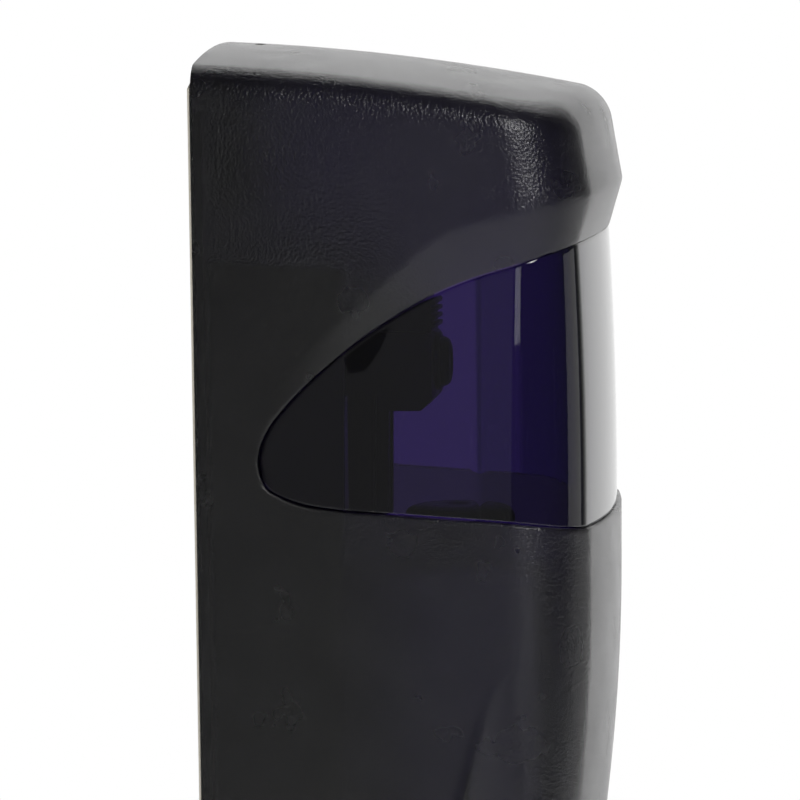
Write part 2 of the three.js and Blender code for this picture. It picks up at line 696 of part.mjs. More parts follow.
function makePistonSeal() {
  const middle = atDrop(piston.topDrop) - 2;
  const section = [];
  for (let k = 0; k < 8; k += 1) {
    const angle = (k * Math.PI) / 4;
    section.push([6.1 + 0.65 * Math.cos(angle), middle + 0.65 * Math.sin(angle)]);
  }
  return turned(section, [0, pumpAxisY]);
}

function makeNozzle() {
  const topZ = atDrop(286);
  const endZ = atDrop(299);
  return turned([
    [4.7, topZ],
    [7.2, topZ],
    [7.2, topZ - 4],
    [5, endZ + 1],
    [4.6, endZ],
    [3.2, endZ],
    [3.2, atDrop(292.2)],
    [4.7, atDrop(291.3)],
  ], [0, pumpAxisY]);
}

function makeOutletValve() {
  return turned([
    [0, atDrop(297.4)],
    [2.9, atDrop(293.4)],
    [2.9, atDrop(292.6)],
    [2.0, atDrop(292.6)],
    [0, atDrop(295.8)],
  ], [0, pumpAxisY], 16);
}

// ---------------------------------------------------------------- push bar and lifting fork
const forkScrews = [[-17, 274], [17, 274]];
const forkBack = { front: -82.5, rear: -80 };
// The play under the piston's flange leaves room for the tines as they tilt.
const forkPlay = 0.5;

function makePushBar() {
  const plain = () => 0;
  const outer = bodySkin({ inset: 0, half: bar.halfWidth, recess: plain, setBack: 0.6 });
  const inner = bodySkin({ inset: bar.wall, half: bar.halfWidth, recess: plain, setBack: 0.6, rear: -bar.wall });
  const profile = plateAcross([
    [-110, atDrop(bar.topDrop)],
    [-82, atDrop(bar.topDrop)],
    [-54, atDrop(bar.topDrop + 7)],
    [-38, atDrop(bar.bottomDrop - 3)],
    [-41, atDrop(bar.bottomDrop)],
    [-110, atDrop(bar.bottomDrop)],
  ], [-80, 80]);
  const shell = outer.subtract(inner).intersect(profile);
  const rib = plateAcross([
    [-100, atDrop(bar.topDrop + 1)],
    [bar.pivotY + 1, pivotZ + 4],
    [bar.pivotY + 4, pivotZ],
    [bar.pivotY + 1, pivotZ - 4],
    [-100, atDrop(262)],
  ], [ear.outer + gap, ear.outer + 2.8]).intersect(outer);
  const seat = box([-22, 22], [-95, forkBack.front - gap], [atDrop(280), atDrop(268)]).intersect(outer);
  const holes = forkScrews.map(([x, drop]) => rod('y', [-86.6, -75], screw.bore, [x, atDrop(drop)]));
  const pivotBore = rod('x', [-50, 50], pinBore, [bar.pivotY, pivotZ]);
  return cut(union([shell, ...bothSides(rib), seat]), [pivotBore, ...holes]);
}

function makeLiftingFork() {
  const topZ = atDrop(piston.flangeDrop + piston.flangeThickness) - forkPlay;
  const back = box([-22, 22], [forkBack.front, forkBack.rear], [atDrop(285), atDrop(268.5)]);
  const tine = box([7.6, 11.2], [forkBack.front + 1, pumpAxisY + 5], [topZ - 3, topZ]);
  const bridge = box([-11.2, 11.2], [forkBack.front + 1, -72], [topZ - 3, topZ]);
  const gusset = plateAcross([
    [forkBack.front + 1, topZ - 1],
    [-66, topZ - 1],
    [forkBack.front + 1, atDrop(269)],
  ], [9, 11.2]);
  const holes = forkScrews.map(([x, drop]) => rod('y', [-95, -70], screw.bore, [x, atDrop(drop)]));
  return cut(union([back, ...bothSides(tine), bridge, ...bothSides(gusset)]), holes);
}

// ---------------------------------------------------------------- assembly
const finish = {
  cover: { color: 0x1f1c24, roughness: 0.5, metalness: 0 },
  window: { color: 0x2a1d55, roughness: 0.06, metalness: 0 },
  black: { color: 0x17171a, roughness: 0.55, metalness: 0 },
  foam: { color: 0xe4dcc8, roughness: 0.9, metalness: 0 },
  clear: { color: 0xdfe6ea, roughness: 0.15, metalness: 0 },
  natural: { color: 0xd9d8d2, roughness: 0.4, metalness: 0 },
  rubber: { color: 0x2c2c2e, roughness: 0.8, metalness: 0 },
  steel: { color: 0xb4b6ba, roughness: 0.3, metalness: 1 },
};

const dispenser = new THREE.Group();
function addPiece(name, body, look) {
  const mesh = new THREE.Mesh(geometryOf(body), new THREE.MeshStandardMaterial(finish[look]));
  mesh.name = name;
  dispenser.add(mesh);
}

addPiece('rear_backplate', makeBackplate(), 'black');
addPiece('wall_gasket', makeGasket(), 'foam');
addPiece('reservoir_carrier', makeCarrier(), 'black');
carrierScrews.forEach((at, i) => addPiece(`carrier_screw_${i + 1}`, makeScrew(at, carrierFront, 6), 'steel'));

addPiece('front_cover', makeCover(), 'cover');
addPiece('sight_window', makeWindow(), 'window');
const hingePin = rod('x', [51.5, halfWidth - 0.2], hinge.pinRadius, [hinge.y, hingeZ]);
addPiece('cover_hinge_pin_right', hingePin, 'steel');
addPiece('cover_hinge_pin_left', mirrored(hingePin), 'steel');
addPiece('cover_latch', makeCoverLatch(), 'black');
const latchSpring = { x: 0, y: -7.4, z0: atDrop(43.2), z1: atDrop(34.3), radius: 2.6, wire: 0.35, turns: 5 };
addPiece('cover_latch_spring', coil(latchSpring), 'steel');

addPiece('reservoir', makeReservoir(), 'clear');
addPiece('filler_cap', makeFillerCap(), 'black');
addPiece('latch_housing', makeLatchHousing(), 'black');
addPiece('release_button', makeReleaseButton(), 'black');
addPiece('latch_hook', makeLatchHook(), 'natural');
addPiece('button_spring', makeButtonSpring(), 'steel');
latchScrews.forEach((at, i) => addPiece(`latch_screw_${i + 1}`, makeScrew(at, footFace, 5.6), 'steel'));

addPiece('retaining_nut', makeRetainingNut(), 'natural');
addPiece('pump_cylinder', makePumpCylinder(), 'natural');
addPiece('inlet_valve', makeInletValve(), 'rubber');
addPiece('pump_piston', makePiston(), 'natural');
addPiece('piston_seal', makePistonSeal(), 'rubber');
const pumpSpring = {
  x: 0, y: pumpAxisY, z0: atDrop(piston.flangeDrop - 0.3), z1: atDrop(254.3), radius: 9.8, wire: 0.55, turns: 6,
};
addPiece('pump_spring', coil(pumpSpring), 'steel');
addPiece('outlet_nozzle', makeNozzle(), 'rubber');
addPiece('outlet_valve', makeOutletValve(), 'rubber');

addPiece('push_bar', makePushBar(), 'black');
addPiece('lifting_fork', makeLiftingFork(), 'natural');
const pivotPin = rod('x', [ear.inner - 0.4, ear.outer + 3.2], hinge.pinRadius, [bar.pivotY, pivotZ]);
addPiece('bar_pivot_pin_right', pivotPin, 'steel');
addPiece('bar_pivot_pin_left', mirrored(pivotPin), 'steel');
forkScrews.forEach((at, i) => addPiece(`fork_screw_${i + 1}`, makeScrew(at, forkBack.rear, 6, -1), 'steel'));

export default dispenser;
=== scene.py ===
import math

import bmesh
import bpy
import numpy as np
from mathutils import Matrix, Quaternion, Vector


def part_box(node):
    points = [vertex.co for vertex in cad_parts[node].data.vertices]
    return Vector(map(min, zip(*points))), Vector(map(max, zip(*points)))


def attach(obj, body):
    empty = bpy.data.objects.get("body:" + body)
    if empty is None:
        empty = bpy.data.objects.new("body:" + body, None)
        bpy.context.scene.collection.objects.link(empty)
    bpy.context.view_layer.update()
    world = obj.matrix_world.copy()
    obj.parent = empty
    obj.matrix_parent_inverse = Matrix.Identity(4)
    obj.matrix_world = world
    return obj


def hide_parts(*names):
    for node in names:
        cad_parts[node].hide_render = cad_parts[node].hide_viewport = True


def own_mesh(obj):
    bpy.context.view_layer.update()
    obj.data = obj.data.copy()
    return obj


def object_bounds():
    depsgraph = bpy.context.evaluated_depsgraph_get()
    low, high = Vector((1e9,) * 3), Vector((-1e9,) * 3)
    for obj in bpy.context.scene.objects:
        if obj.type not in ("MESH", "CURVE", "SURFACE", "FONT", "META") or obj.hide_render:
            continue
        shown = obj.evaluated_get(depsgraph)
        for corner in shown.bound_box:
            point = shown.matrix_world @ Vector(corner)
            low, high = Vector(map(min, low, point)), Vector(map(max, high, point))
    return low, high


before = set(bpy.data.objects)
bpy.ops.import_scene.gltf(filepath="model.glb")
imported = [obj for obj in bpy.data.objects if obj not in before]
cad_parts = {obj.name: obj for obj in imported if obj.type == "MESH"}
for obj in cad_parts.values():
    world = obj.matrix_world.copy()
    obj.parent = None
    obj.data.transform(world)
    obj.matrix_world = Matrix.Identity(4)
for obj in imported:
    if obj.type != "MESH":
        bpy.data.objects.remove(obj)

# Wall mounted soap dispenser. Lengths below are in millimetres and become metres when a mesh is made.
# X is the width, the wall is y = 0, the front faces -Y. Heights are drops below a datum just over the roof.
MM = 0.001
cad_low, cad_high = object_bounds()

# ---------------------------------------------------------------- driving dimensions, from the frame
TOP = 152.5
HALF = cad_high.x / MM
WALL = 2.4
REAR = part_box("front_cover")[1].y / MM + 0.35
BROW_DEPTH = -cad_low.y / MM
CORNER = 20.0
CROWN = 365.0
ROOF_EDGE = 7.0
ROOF_ARCH = 420.0
ROOF_TOP = 2.3
BROW_DROP = 40.0
BROW_LEAN = 0.165
SILL_DROP = 137.0
SILL_DEPTH = 102.6
LOWER_ARC = 520.0
LOWER_ARC_END = 204.0
FRONT_EDGE_DROP = 232.0
NOMINAL_DEPTH = 101.5


def at(drop):
    return TOP - drop


def lerp(a, b, t):
    return a + (b - a) * t


def smooth(a, b, v):
    t = min(1.0, max(0.0, (v - a) / (b - a)))
    return t * t * (3 - 2 * t)


def curve_through(points):
    """A smooth curve through (depth, drop) points, as a function of depth."""
    last = len(points) - 1

    def slope(i):
        (x0, y0), (x1, y1) = points[max(0, i - 1)], points[min(last, i + 1)]
        return (y1 - y0) / (x1 - x0)

    def value(depth):
        if depth <= points[0][0]:
            return points[0][1]
        if depth >= points[last][0]:
            return points[last][1]
        k = next(i for i in range(last) if depth <= points[i + 1][0])
        (x0, y0), (x1, y1) = points[k], points[k + 1]
        s = x1 - x0
        t = (depth - x0) / s
        return ((2 * t**3 - 3 * t**2 + 1) * y0 + (t**3 - 2 * t**2 + t) * s * slope(k)
                + (3 * t**2 - 2 * t**3) * y1 + (t**3 - t**2) * s * slope(k + 1))

    return value


def straight_through(points):
    """Straight runs through (depth, drop) points."""
    xs, ys = zip(*points)
    return lambda depth: float(np.interp(depth, xs, ys))


# ---------------------------------------------------------------- outer form
TIP = (16.4, 106.5)
window_top = curve_through([
    TIP, (17.4, 102), (20.5, 96.6), (30, 86.5), (46.9, 73.4), (68.6, 61.4), (98, 53), (108, 50.5)])
window_bottom = curve_through([
    TIP, (17.4, 112), (21, 115.5), (30, 118.6), (52.6, 120.8), (80, 123), (98, 125.4), (108, 126.6)])
brow_line = curve_through([
    (0, 100), (22, 90), (39.3, 71.4), (58.6, 53.8), (65.7, 49.4), (79.4, 45.2), (104, 40)])


def brow_recess(depth):
    return 3.3 * smooth(24, 62, depth)


def front_depth(drop):
    """Depth of the front at mid-width: it leans back over the brow and tapers below the sill."""
    if drop < BROW_DROP:
        return BROW_DEPTH - (BROW_DROP - drop) * BROW_LEAN
    if drop < SILL_DROP:
        return lerp(BROW_DEPTH, SILL_DEPTH, (drop - BROW_DROP) / (SILL_DROP - BROW_DROP))
    along = min(drop, LOWER_ARC_END) - SILL_DROP
    return SILL_DEPTH - along**2 / (2 * LOWER_ARC) - max(0, drop - LOWER_ARC_END) * along / LOWER_ARC


def roof_drop(x, depth):
    return ROOF_TOP + x**2 / (2 * ROOF_ARCH) + 0.05 * depth + 0.00085 * depth**2


CORNER_STEPS = 24
CROWN_STEPS = 9
STRETCH_FROM = 60.0
STRETCH_STEPS = 16


def columns(side_depths):
    """The right half's columns, from the wall to mid-front: ("side", depth), then shares of each stretch."""
    found = [("side", d) for d in side_depths]
    found += [("stretch", k / STRETCH_STEPS) for k in range(1, STRETCH_STEPS)]
    found += [("corner", k / CORNER_STEPS) for k in range(CORNER_STEPS + 1)]
    found += [("crown", k / CROWN_STEPS) for k in range(1, CROWN_STEPS + 1)]
    return found


def place(column, depth, half):
    """Where a column is in plan on the right side, and the way inward there."""
    away = CROWN - CORNER
    corner_x = half - CORNER
    centre_y = -depth + CROWN
    corner_y = centre_y - math.sqrt(away**2 - corner_x**2)
    join = math.asin(corner_x / away)
    kind, share = column
    if kind == "side":
        return half, -share, -1.0, 0.0
    if kind == "stretch":
        return half, lerp(-STRETCH_FROM, corner_y, share), -1.0, 0.0
    if kind == "corner":
        angle = (math.pi / 2 - join) * share
        nx, ny = math.cos(angle), -math.sin(angle)
        return corner_x + CORNER * nx, corner_y + CORNER * ny, -nx, -ny
    angle = join * (1 - share)
    nx, ny = math.sin(angle), -math.cos(angle)
    return CROWN * nx, centre_y + CROWN * ny, -nx, -ny


def scoop(x, y, drop):
    """Moves a point on the right side in onto the scooped facet, behind a slightly raised ridge."""
    grow = drop - 160
    if grow <= 0 or drop > 245:
        return x, y
    turn = math.radians(0.6 * grow)
    corner_y = -front_depth(drop) + 22.8
    ridge_y = -(77.6 - 0.273 * grow)
    edge = (HALF - CORNER + CORNER * math.cos(turn), corner_y - CORNER * math.sin(turn))
    along = Vector((edge[0] - HALF, edge[1] - ridge_y))
    length = along.length
    if length < 0.5:
        return x, y
    along /= length
    out = Vector((-along.y, along.x))
    if out.x < 0:
        out = -out
    offset = Vector((x - HALF, y - ridge_y))
    reach = offset.dot(along)
    beyond = offset.dot(out)
    if 0 <= reach <= length and beyond > 0:
        hollow = min(1.1, 0.03 * grow) * math.sin(math.pi * reach / length) ** 0.7
        x -= out.x * (beyond + hollow)
        y -= out.y * (beyond + hollow)
    behind = y - ridge_y
    raised = min(0.8, 0.025 * grow)
    x += raised * (1 - (smooth(0.0, 3.6, behind) if behind > 0 else smooth(0.0, 2.0, -behind)))
    return x, y


def window_inset(depth, drop):
    """How far the window's face lies under the body's form."""
    top, bottom = window_top(depth), window_bottom(depth)
    share = min(1.0, max(0.0, (bottom - drop) / max(bottom - top, 0.01)))
    return lerp(1.2, max(1.2, brow_recess(depth) + 0.3), share**2)


def window_wall(depth):
    """The window is moulded thicker round the corners and across the front."""
    return 2.0 + 0.65 * smooth(71.5, 73.5, depth)


def brow_inset(depth, drop):
    """The slope that falls from the brow's crease to the window's upper edge, with a soft crease."""
    top = window_top(depth)
    crease = min(brow_line(depth), top - 8)
    if drop > lerp(top, window_bottom(depth), 0.5):
        return 0.0
    share = (drop - crease) / (top - crease)
    soft = 0.07
    if share <= -soft:
        return 0.0
    eased = (share + soft) ** 2 / (4 * soft) if share < soft else share
    return brow_recess(depth) * min(1.0, eased)


# ---------------------------------------------------------------- mesh helpers
def new_object(name, points, faces):
    """A mesh object from points in millimetres."""
    mesh = bpy.data.meshes.new(name)
    mesh.from_pydata([Vector(p) * MM for p in points], [], faces)
    mesh.validate()
    piece = bpy.data.objects.new(name, mesh)
    bpy.context.scene.collection.objects.link(piece)
    return piece


def tidy(piece, angle=34, merge=0.002):
    """Merges doubled points, turns faces outward and shades smooth up to an angle."""
    bm = bmesh.new()
    bm.from_mesh(piece.data)
    bmesh.ops.remove_doubles(bm, verts=bm.verts, dist=merge * MM)
    bmesh.ops.dissolve_degenerate(bm, edges=bm.edges, dist=merge * MM)
    bmesh.ops.recalc_face_normals(bm, faces=bm.faces)
    limit = math.radians(angle)
    for face in bm.faces:
        face.smooth = True
    for edge in bm.edges:
        edge.smooth = len(edge.link_faces) == 2 and edge.calc_face_angle(0) < limit
    bm.to_mesh(piece.data)
    bm.free()
    return piece


def apply_modifiers(piece):
    depsgraph = bpy.context.evaluated_depsgraph_get()
    mesh = bpy.data.meshes.new_from_object(piece.evaluated_get(depsgraph))
    piece.modifiers.clear()
    old = piece.data
    piece.data = mesh
    bpy.data.meshes.remove(old)
    return piece


def bevelled(piece, width, segments=3, angle=38):
    edge = piece.modifiers.new("edge", "BEVEL")
    edge.width = width * MM
    edge.segments = segments
    edge.limit_method = "ANGLE"
    edge.angle_limit = math.radians(angle)
    edge.use_clamp_overlap = True
    return apply_modifiers(piece)


def combined(name, adds, cuts=(), bevel=0.4, segments=2):
    """Joins solids, cuts others away, then rounds the edges."""
    whole = adds[0]
    whole.name = name
    for operation, tools in (("UNION", adds[1:]), ("DIFFERENCE", cuts)):
        for tool in tools:
            step = whole.modifiers.new("step", "BOOLEAN")
            step.operation = operation
            step.solver = "EXACT"
            step.object = tool
    apply_modifiers(whole)
    for tool in [*adds[1:], *cuts]:
        bpy.data.objects.remove(tool)
    tidy(whole, merge=0.01)
    if bevel:
        bevelled(whole, bevel, segments)
        tidy(whole, merge=0.004)
    return whole


def box(xs, ys, zs):
    points = [(x, y, z) for x in sorted(xs) for y in sorted(ys) for z in sorted(zs)]
    faces = [(0, 1, 3, 2), (4, 6, 7, 5), (0, 4, 5, 1), (2, 3, 7, 6), (0, 2, 6, 4), (1, 5, 7, 3)]
    return new_object("box", points, faces)


def turned(profile, centre, axis="z", segments=48):
    """A turned solid about an axis; profile points are (radius, distance along the axis)."""
    points, faces = [], []
    rows = []
    for radius, along in profile:
        row = []
        for k in range(1 if radius < 1e-6 else segments):
            angle = 2 * math.pi * k / segments
            u, v = radius * math.cos(angle), radius * math.sin(angle)
            p = {"z": (centre[0] + u, centre[1] + v, along),
                 "y": (centre[0] + u, along, centre[1] + v),
                 "x": (along, centre[0] + u, centre[1] + v)}[axis]
            row.append(len(points))
            points.append(p)
        rows.append(row)
    ring = profile[0][0] > 1e-6
    pairs = list(zip(rows, rows[1:])) + ([(rows[-1], rows[0])] if ring else [])
    for low, high in pairs:
        for k in range(segments):
            j = (k + 1) % segments
            if len(low) == 1:
                faces.append((low[0], high[k], high[j]))
            elif len(high) == 1:
                faces.append((low[k], low[j], high[0]))
            else:
                faces.append((low[k], low[j], high[j], high[k]))
    return tidy(new_object("turned", points, faces))


def rod(axis, span, radius, centre, segments=40):
    low, high = min(span), max(span)
    return turned([(0, low), (radius, low), (radius, high), (0, high)], centre, axis, segments)


def across(outline, xs):
    """A side view outline of (y, z) points, run across from one x to another."""
    count = len(outline)
    points = [(x, y, z) for x in sorted(xs) for y, z in outline]
    faces = [tuple(range(count)), tuple(range(count, 2 * count))]
    faces += [(k, (k + 1) % count, count + (k + 1) % count, count + k) for k in range(count)]
    return tidy(new_object("plate", points, faces))


def mirrored(piece):
    twin = piece.copy()
    twin.data = piece.data.copy()
    bpy.context.scene.collection.objects.link(twin)
    twin.data.transform(Matrix.Scale(-1, 4, (1, 0, 0)))
    twin.data.flip_normals()
    return twin


def both(make):
    """A piece and its mirror image."""
    piece = make()
    return [piece, mirrored(piece)]


def tube(name, centres, radius, sides=14):
    """A closed round wire along a path."""
    points, faces = [], []
    path = [Vector(c) for c in centres]
    side = None
    for i, p in enumerate(path):
        ahead = path[min(i + 1, len(path) - 1)] - path[max(i - 1, 0)]
        ahead.normalize()
        side = ahead.orthogonal() if side is None else side - ahead * side.dot(ahead)
        side.normalize()
        other = ahead.cross(side)
        for k in range(sides):
            angle = 2 * math.pi * k / sides
            points.append(p + (side * math.cos(angle) + other * math.sin(angle)) * radius)
    for i in range(len(path) - 1):
        for k in range(sides):
            j = (k + 1) % sides
            faces.append((i * sides + k, i * sides + j, (i + 1) * sides + j, (i + 1) * sides + k))
    faces.append(tuple(range(sides)))
    faces.append(tuple(range((len(path) - 1) * sides, len(path) * sides)))
    return tidy(new_object(name, points, faces))


def spring(name, centre, ends, radius, wire, turns, axis="z"):
    """A compression spring with a closed turn at each end."""
    low, high = min(ends) + wire, max(ends) - wire
    steps = int((turns + 2) * 28)
    path = []
    for i in range(steps + 1):
        t = i / steps * (turns + 2)
        open_share = min(1.0, max(0.0, (t - 1) / turns))
        closed = wire * 1.02 * (min(t, 1.0) + max(0.0, t - turns - 1))
        along = low + closed * 1.0 + (high - low - 2.04 * wire) * open_share
        angle = 2 * math.pi * t
        u, v = radius * math.cos(angle), radius * math.sin(angle)
        path.append({"z": (centre[0] + u, centre[1] + v, along),
                     "y": (centre[0] + u, along, centre[1] + v)}[axis])
    return tube(name, path, wire)


# ---------------------------------------------------------------- materials
def material(name):
    made = bpy.data.materials.new(name)
    made.use_nodes = True
    nodes, links = made.node_tree.nodes, made.node_tree.links
    return made, nodes, links, nodes["Principled BSDF"]


def object_noise(nodes, links, scale, detail=2.0, roughness=0.5, stretch=(1, 1, 1)):
    """A noise pattern in object space; scale is in repeats per metre."""
    coordinates = nodes.new("ShaderNodeTexCoord")
    mapping = nodes.new("ShaderNodeMapping")
    mapping.inputs["Scale"].default_value = stretch
    pattern = nodes.new("ShaderNodeTexNoise")
    pattern.inputs["Scale"].default_value = scale
    pattern.inputs["Detail"].default_value = detail
    pattern.inputs["Roughness"].default_value = roughness
    links.new(coordinates.outputs["Object"], mapping.inputs["Vector"])
    links.new(mapping.outputs["Vector"], pattern.inputs["Vector"])
    return pattern.outputs["Fac"]


def to_range(nodes, links, source, from_low, from_high, low, high):
    ramp = nodes.new("ShaderNodeMapRange")
    ramp.inputs["From Min"].default_value = from_low
    ramp.inputs["From Max"].default_value = from_high
    ramp.inputs["To Min"].default_value = low
    ramp.inputs["To Max"].default_value = high
    links.new(source, ramp.inputs["Value"])
    return ramp.outputs["Result"]


def bump(nodes, links, height, distance, strength=1.0, normal=None):
    made = nodes.new("ShaderNodeBump")
    made.inputs["Distance"].default_value = distance
    made.inputs["Strength"].default_value = strength
    links.new(height, made.inputs["Height"])
    if normal is not None:
        links.new(normal, made.inputs["Normal"])
    return made.outputs["Normal"]


def mixed(nodes, links, share, first, second):
    """A colour between two colours."""
    mix = nodes.new("ShaderNodeMix")
    mix.data_type = "RGBA"
    links.new(share, mix.inputs["Factor"])
    mix.inputs["A"].default_value = (*first, 1)
    mix.inputs["B"].default_value = (*second, 1)
    return mix.outputs["Result"]


def absorb(nodes, links, colour, density):
    """Tints what passes through the solid."""
    volume = nodes.new("ShaderNodeVolumeAbsorption")
    volume.inputs["Color"].default_value = (*colour, 1)
    volume.inputs["Density"].default_value = density
    output = next(n for n in nodes if n.type == "OUTPUT_MATERIAL")
    links.new(volume.outputs["Volume"], output.inputs["Volume"])


def grain(nodes, links, size, depth):
    """Spark-eroded mould grain: rounded pits with a finer roughness on them."""
    coordinates = nodes.new("ShaderNodeTexCoord")
    cells = nodes.new("ShaderNodeTexVoronoi")
    cells.feature = "SMOOTH_F1"
    cells.inputs["Scale"].default_value = 1 / (size * MM)
    cells.inputs["Smoothness"].default_value = 0.6
    links.new(coordinates.outputs["Object"], cells.inputs["Vector"])
    coarse = bump(nodes, links, cells.outputs["Distance"], depth * MM, 1.0)
    fine = object_noise(nodes, links, 2.6 / (size * MM), 3.0, 0.6)
    return bump(nodes, links, fine, depth * 0.5 * MM, 1.0, coarse)


def tinted_cover():
    """Dark violet translucent plastic with a fine moulded grain."""
    made, nodes, links, shader = material("tinted_cover")
    shader.inputs["Base Color"].default_value = (0.9, 0.88, 0.94, 1)
    shader.inputs["Transmission Weight"].default_value = 1.0
    shader.inputs["IOR"].default_value = 1.52
    wear = object_noise(nodes, links, 60, 3.0)
    links.new(to_range(nodes, links, wear, 0.3, 0.7, 0.21, 0.28), shader.inputs["Roughness"])
    links.new(grain(nodes, links, 0.75, 0.125), shader.inputs["Normal"])
    absorb(nodes, links, (0.24, 0.20, 0.38), 1350)
    return made


def tinted_window():
    """Polished violet plastic, very slightly wavy."""
    made, nodes, links, shader = material("tinted_window")
    shader.inputs["Base Color"].default_value = (0.98, 0.97, 1.0, 1)
    shader.inputs["Transmission Weight"].default_value = 1.0
    shader.inputs["IOR"].default_value = 1.49
    smear = object_noise(nodes, links, 90, 4.0, 0.6)
    links.new(to_range(nodes, links, smear, 0.35, 0.75, 0.015, 0.04), shader.inputs["Roughness"])
    waves = object_noise(nodes, links, 28, 1.0)
    links.new(bump(nodes, links, waves, 0.12 * MM, 0.5), shader.inputs["Normal"])
    absorb(nodes, links, (0.31, 0.19, 0.54), 1450)
    return made


def moulded(name, colour, worn, roughness, size=0.6, depth=0.02):
    """Opaque moulded plastic with a light texture, uneven gloss and paler scuffed patches at random."""
    made, nodes, links, shader = material(name)
    patches = object_noise(nodes, links, 45, 5.0, 0.6)
    tone = to_range(nodes, links, patches, 0.35, 0.75, 0.0, 1.0)
    links.new(mixed(nodes, links, tone, colour, worn), shader.inputs["Base Color"])
    shine = object_noise(nodes, links, 160, 3.0)
    gloss = to_range(nodes, links, shine, 0.3, 0.7, roughness - 0.06, roughness + 0.08)
    links.new(gloss, shader.inputs["Roughness"])
    links.new(grain(nodes, links, size, depth), shader.inputs["Normal"])
    return made


def clear_tank():
    """Clear blow-moulded plastic with flow lines."""
    made, nodes, links, shader = material("clear_tank")
    shader.inputs["Base Color"].default_value = (0.97, 0.98, 0.985, 1)
    shader.inputs["Transmission Weight"].default_value = 1.0
    shader.inputs["IOR"].default_value = 1.5
    haze = object_noise(nodes, links, 70, 3.0)
    links.new(to_range(nodes, links, haze, 0.3, 0.7, 0.05, 0.14), shader.inputs["Roughness"])
    flow = object_noise(nodes, links, 22, 2.0, 0.5, (1, 1, 0.25))
    links.new(bump(nodes, links, flow, 0.4 * MM, 0.6), shader.inputs["Normal"])
    return made


def foam():
    """Pale closed-cell foam."""
    made, nodes, links, shader = material("foam")
    patches = object_noise(nodes, links, 300, 4.0)
    tone = mixed(nodes, links, patches, (0.62, 0.57, 0.46), (0.80, 0.77, 0.68))
    links.new(tone, shader.inputs["Base Color"])
    shader.inputs["Roughness"].default_value = 0.9
    links.new(grain(nodes, links, 0.5, 0.12), shader.inputs["Normal"])
    return made


def plated_steel():
    """Zinc plated steel with fine drawing marks."""
    made, nodes, links, shader = material("steel")
    shader.inputs["Metallic"].default_value = 1.0
    stain = object_noise(nodes, links, 400, 4.0)
    links.new(mixed(nodes, links, stain, (0.50, 0.51, 0.53), (0.66, 0.66, 0.64)), shader.inputs["Base Color"])
    marks = object_noise(nodes, links, 1500, 2.0, 0.5, (0.15, 1, 1))
    links.new(to_range(nodes, links, marks, 0.3, 0.7, 0.22, 0.38), shader.inputs["Roughness"])
    links.new(bump(nodes, links, marks, 0.01 * MM, 0.6), shader.inputs["Normal"])
    return made


MATERIALS = {
    "tinted_cover": tinted_cover(),
    "tinted_window": tinted_window(),
    "black_abs": moulded("black_abs", (0.016, 0.016, 0.017), (0.028, 0.028, 0.03), 0.36),
    "bar_abs": moulded("bar_abs", (0.012, 0.011, 0.014), (0.02, 0.019, 0.023), 0.42, 0.75, 0.05),
    "natural_acetal": moulded("natural_acetal", (0.66, 0.65, 0.61), (0.76, 0.75, 0.72), 0.34, 0.5, 0.01),
    "elastomer": moulded("elastomer", (0.022, 0.022, 0.024), (0.045, 0.045, 0.048), 0.62, 0.4, 0.02),
    "clear_tank": clear_tank(),
    "foam": foam(),
    "steel": plated_steel(),
}


def finish_piece(piece, name, slot, body, *nodes):
    """Names a finished piece, gives it its material, and hangs it on its body in place of CAD nodes."""
    piece.name = name
    piece.data.materials.clear()
    piece.data.materials.append(MATERIALS[slot])
    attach(piece, body)
    if nodes:
        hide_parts(*nodes)
    return piece


# ---------------------------------------------------------------- cover
EDGE_STEPS = [0.0, 0.08, 0.2, 0.38, 0.62, 1.0, 1.7, 2.8, 4.6, 7.5]
LIP_RADIUS = 0.7
HINGE_DEPTH = 9.0
HINGE_DROP = 293.5
HEEL = HINGE_DEPTH + REAR - 0.2
COVER_SIDE_DEPTHS = [
    -REAR, 1.4, 2.2, 3.6, 5.4, 7.4, 9.2, 11.2, 13.0, 14.4, 15.3, 15.8, 16.1, 16.3, 16.4, 16.46, 16.6,
    16.85, 17.2, 17.7, 18.4, 19.4, 20.8, 22.6, 25, 28, 31, 34, 37, 38.2, 39.6, 41, 42, 43.5, 45.5, 47.5,
    49.5, 51.5, 53.5, 55.5, 57, 57.8, 59]


def cover_edge(depth):
    """Drop of the cover's lower edge: round the hinge, along the bottom, up the push bar's opening."""
    if depth < HINGE_DEPTH:
        return HINGE_DROP + math.sqrt(max(0.0, HEEL**2 - (HINGE_DEPTH - depth) ** 2)) * 6.5 / HEEL
    edge = straight_through([
        (37, 300), (42, 294), (57.8, 237), (82, FRONT_EDGE_DROP), (130, FRONT_EDGE_DROP)])
    return edge(depth)


def shoulder(x, depth):
    return roof_drop(x, depth) + ROOF_EDGE + 7


BROW_SHARES = [
    0, 0.008, 0.02, 0.04, 0.065, 0.1, 0.16, 0.26, 0.4, 0.56, 0.72, 0.84, 0.92, 1.0, 1.08, 1.16, 1.3]


def over_window(depth, share):
    """Drop at a share of the way from the window's top edge to the brow's crease."""
    start = window_top(depth)
    return lerp(start, min(brow_line(depth), start - 8), share)


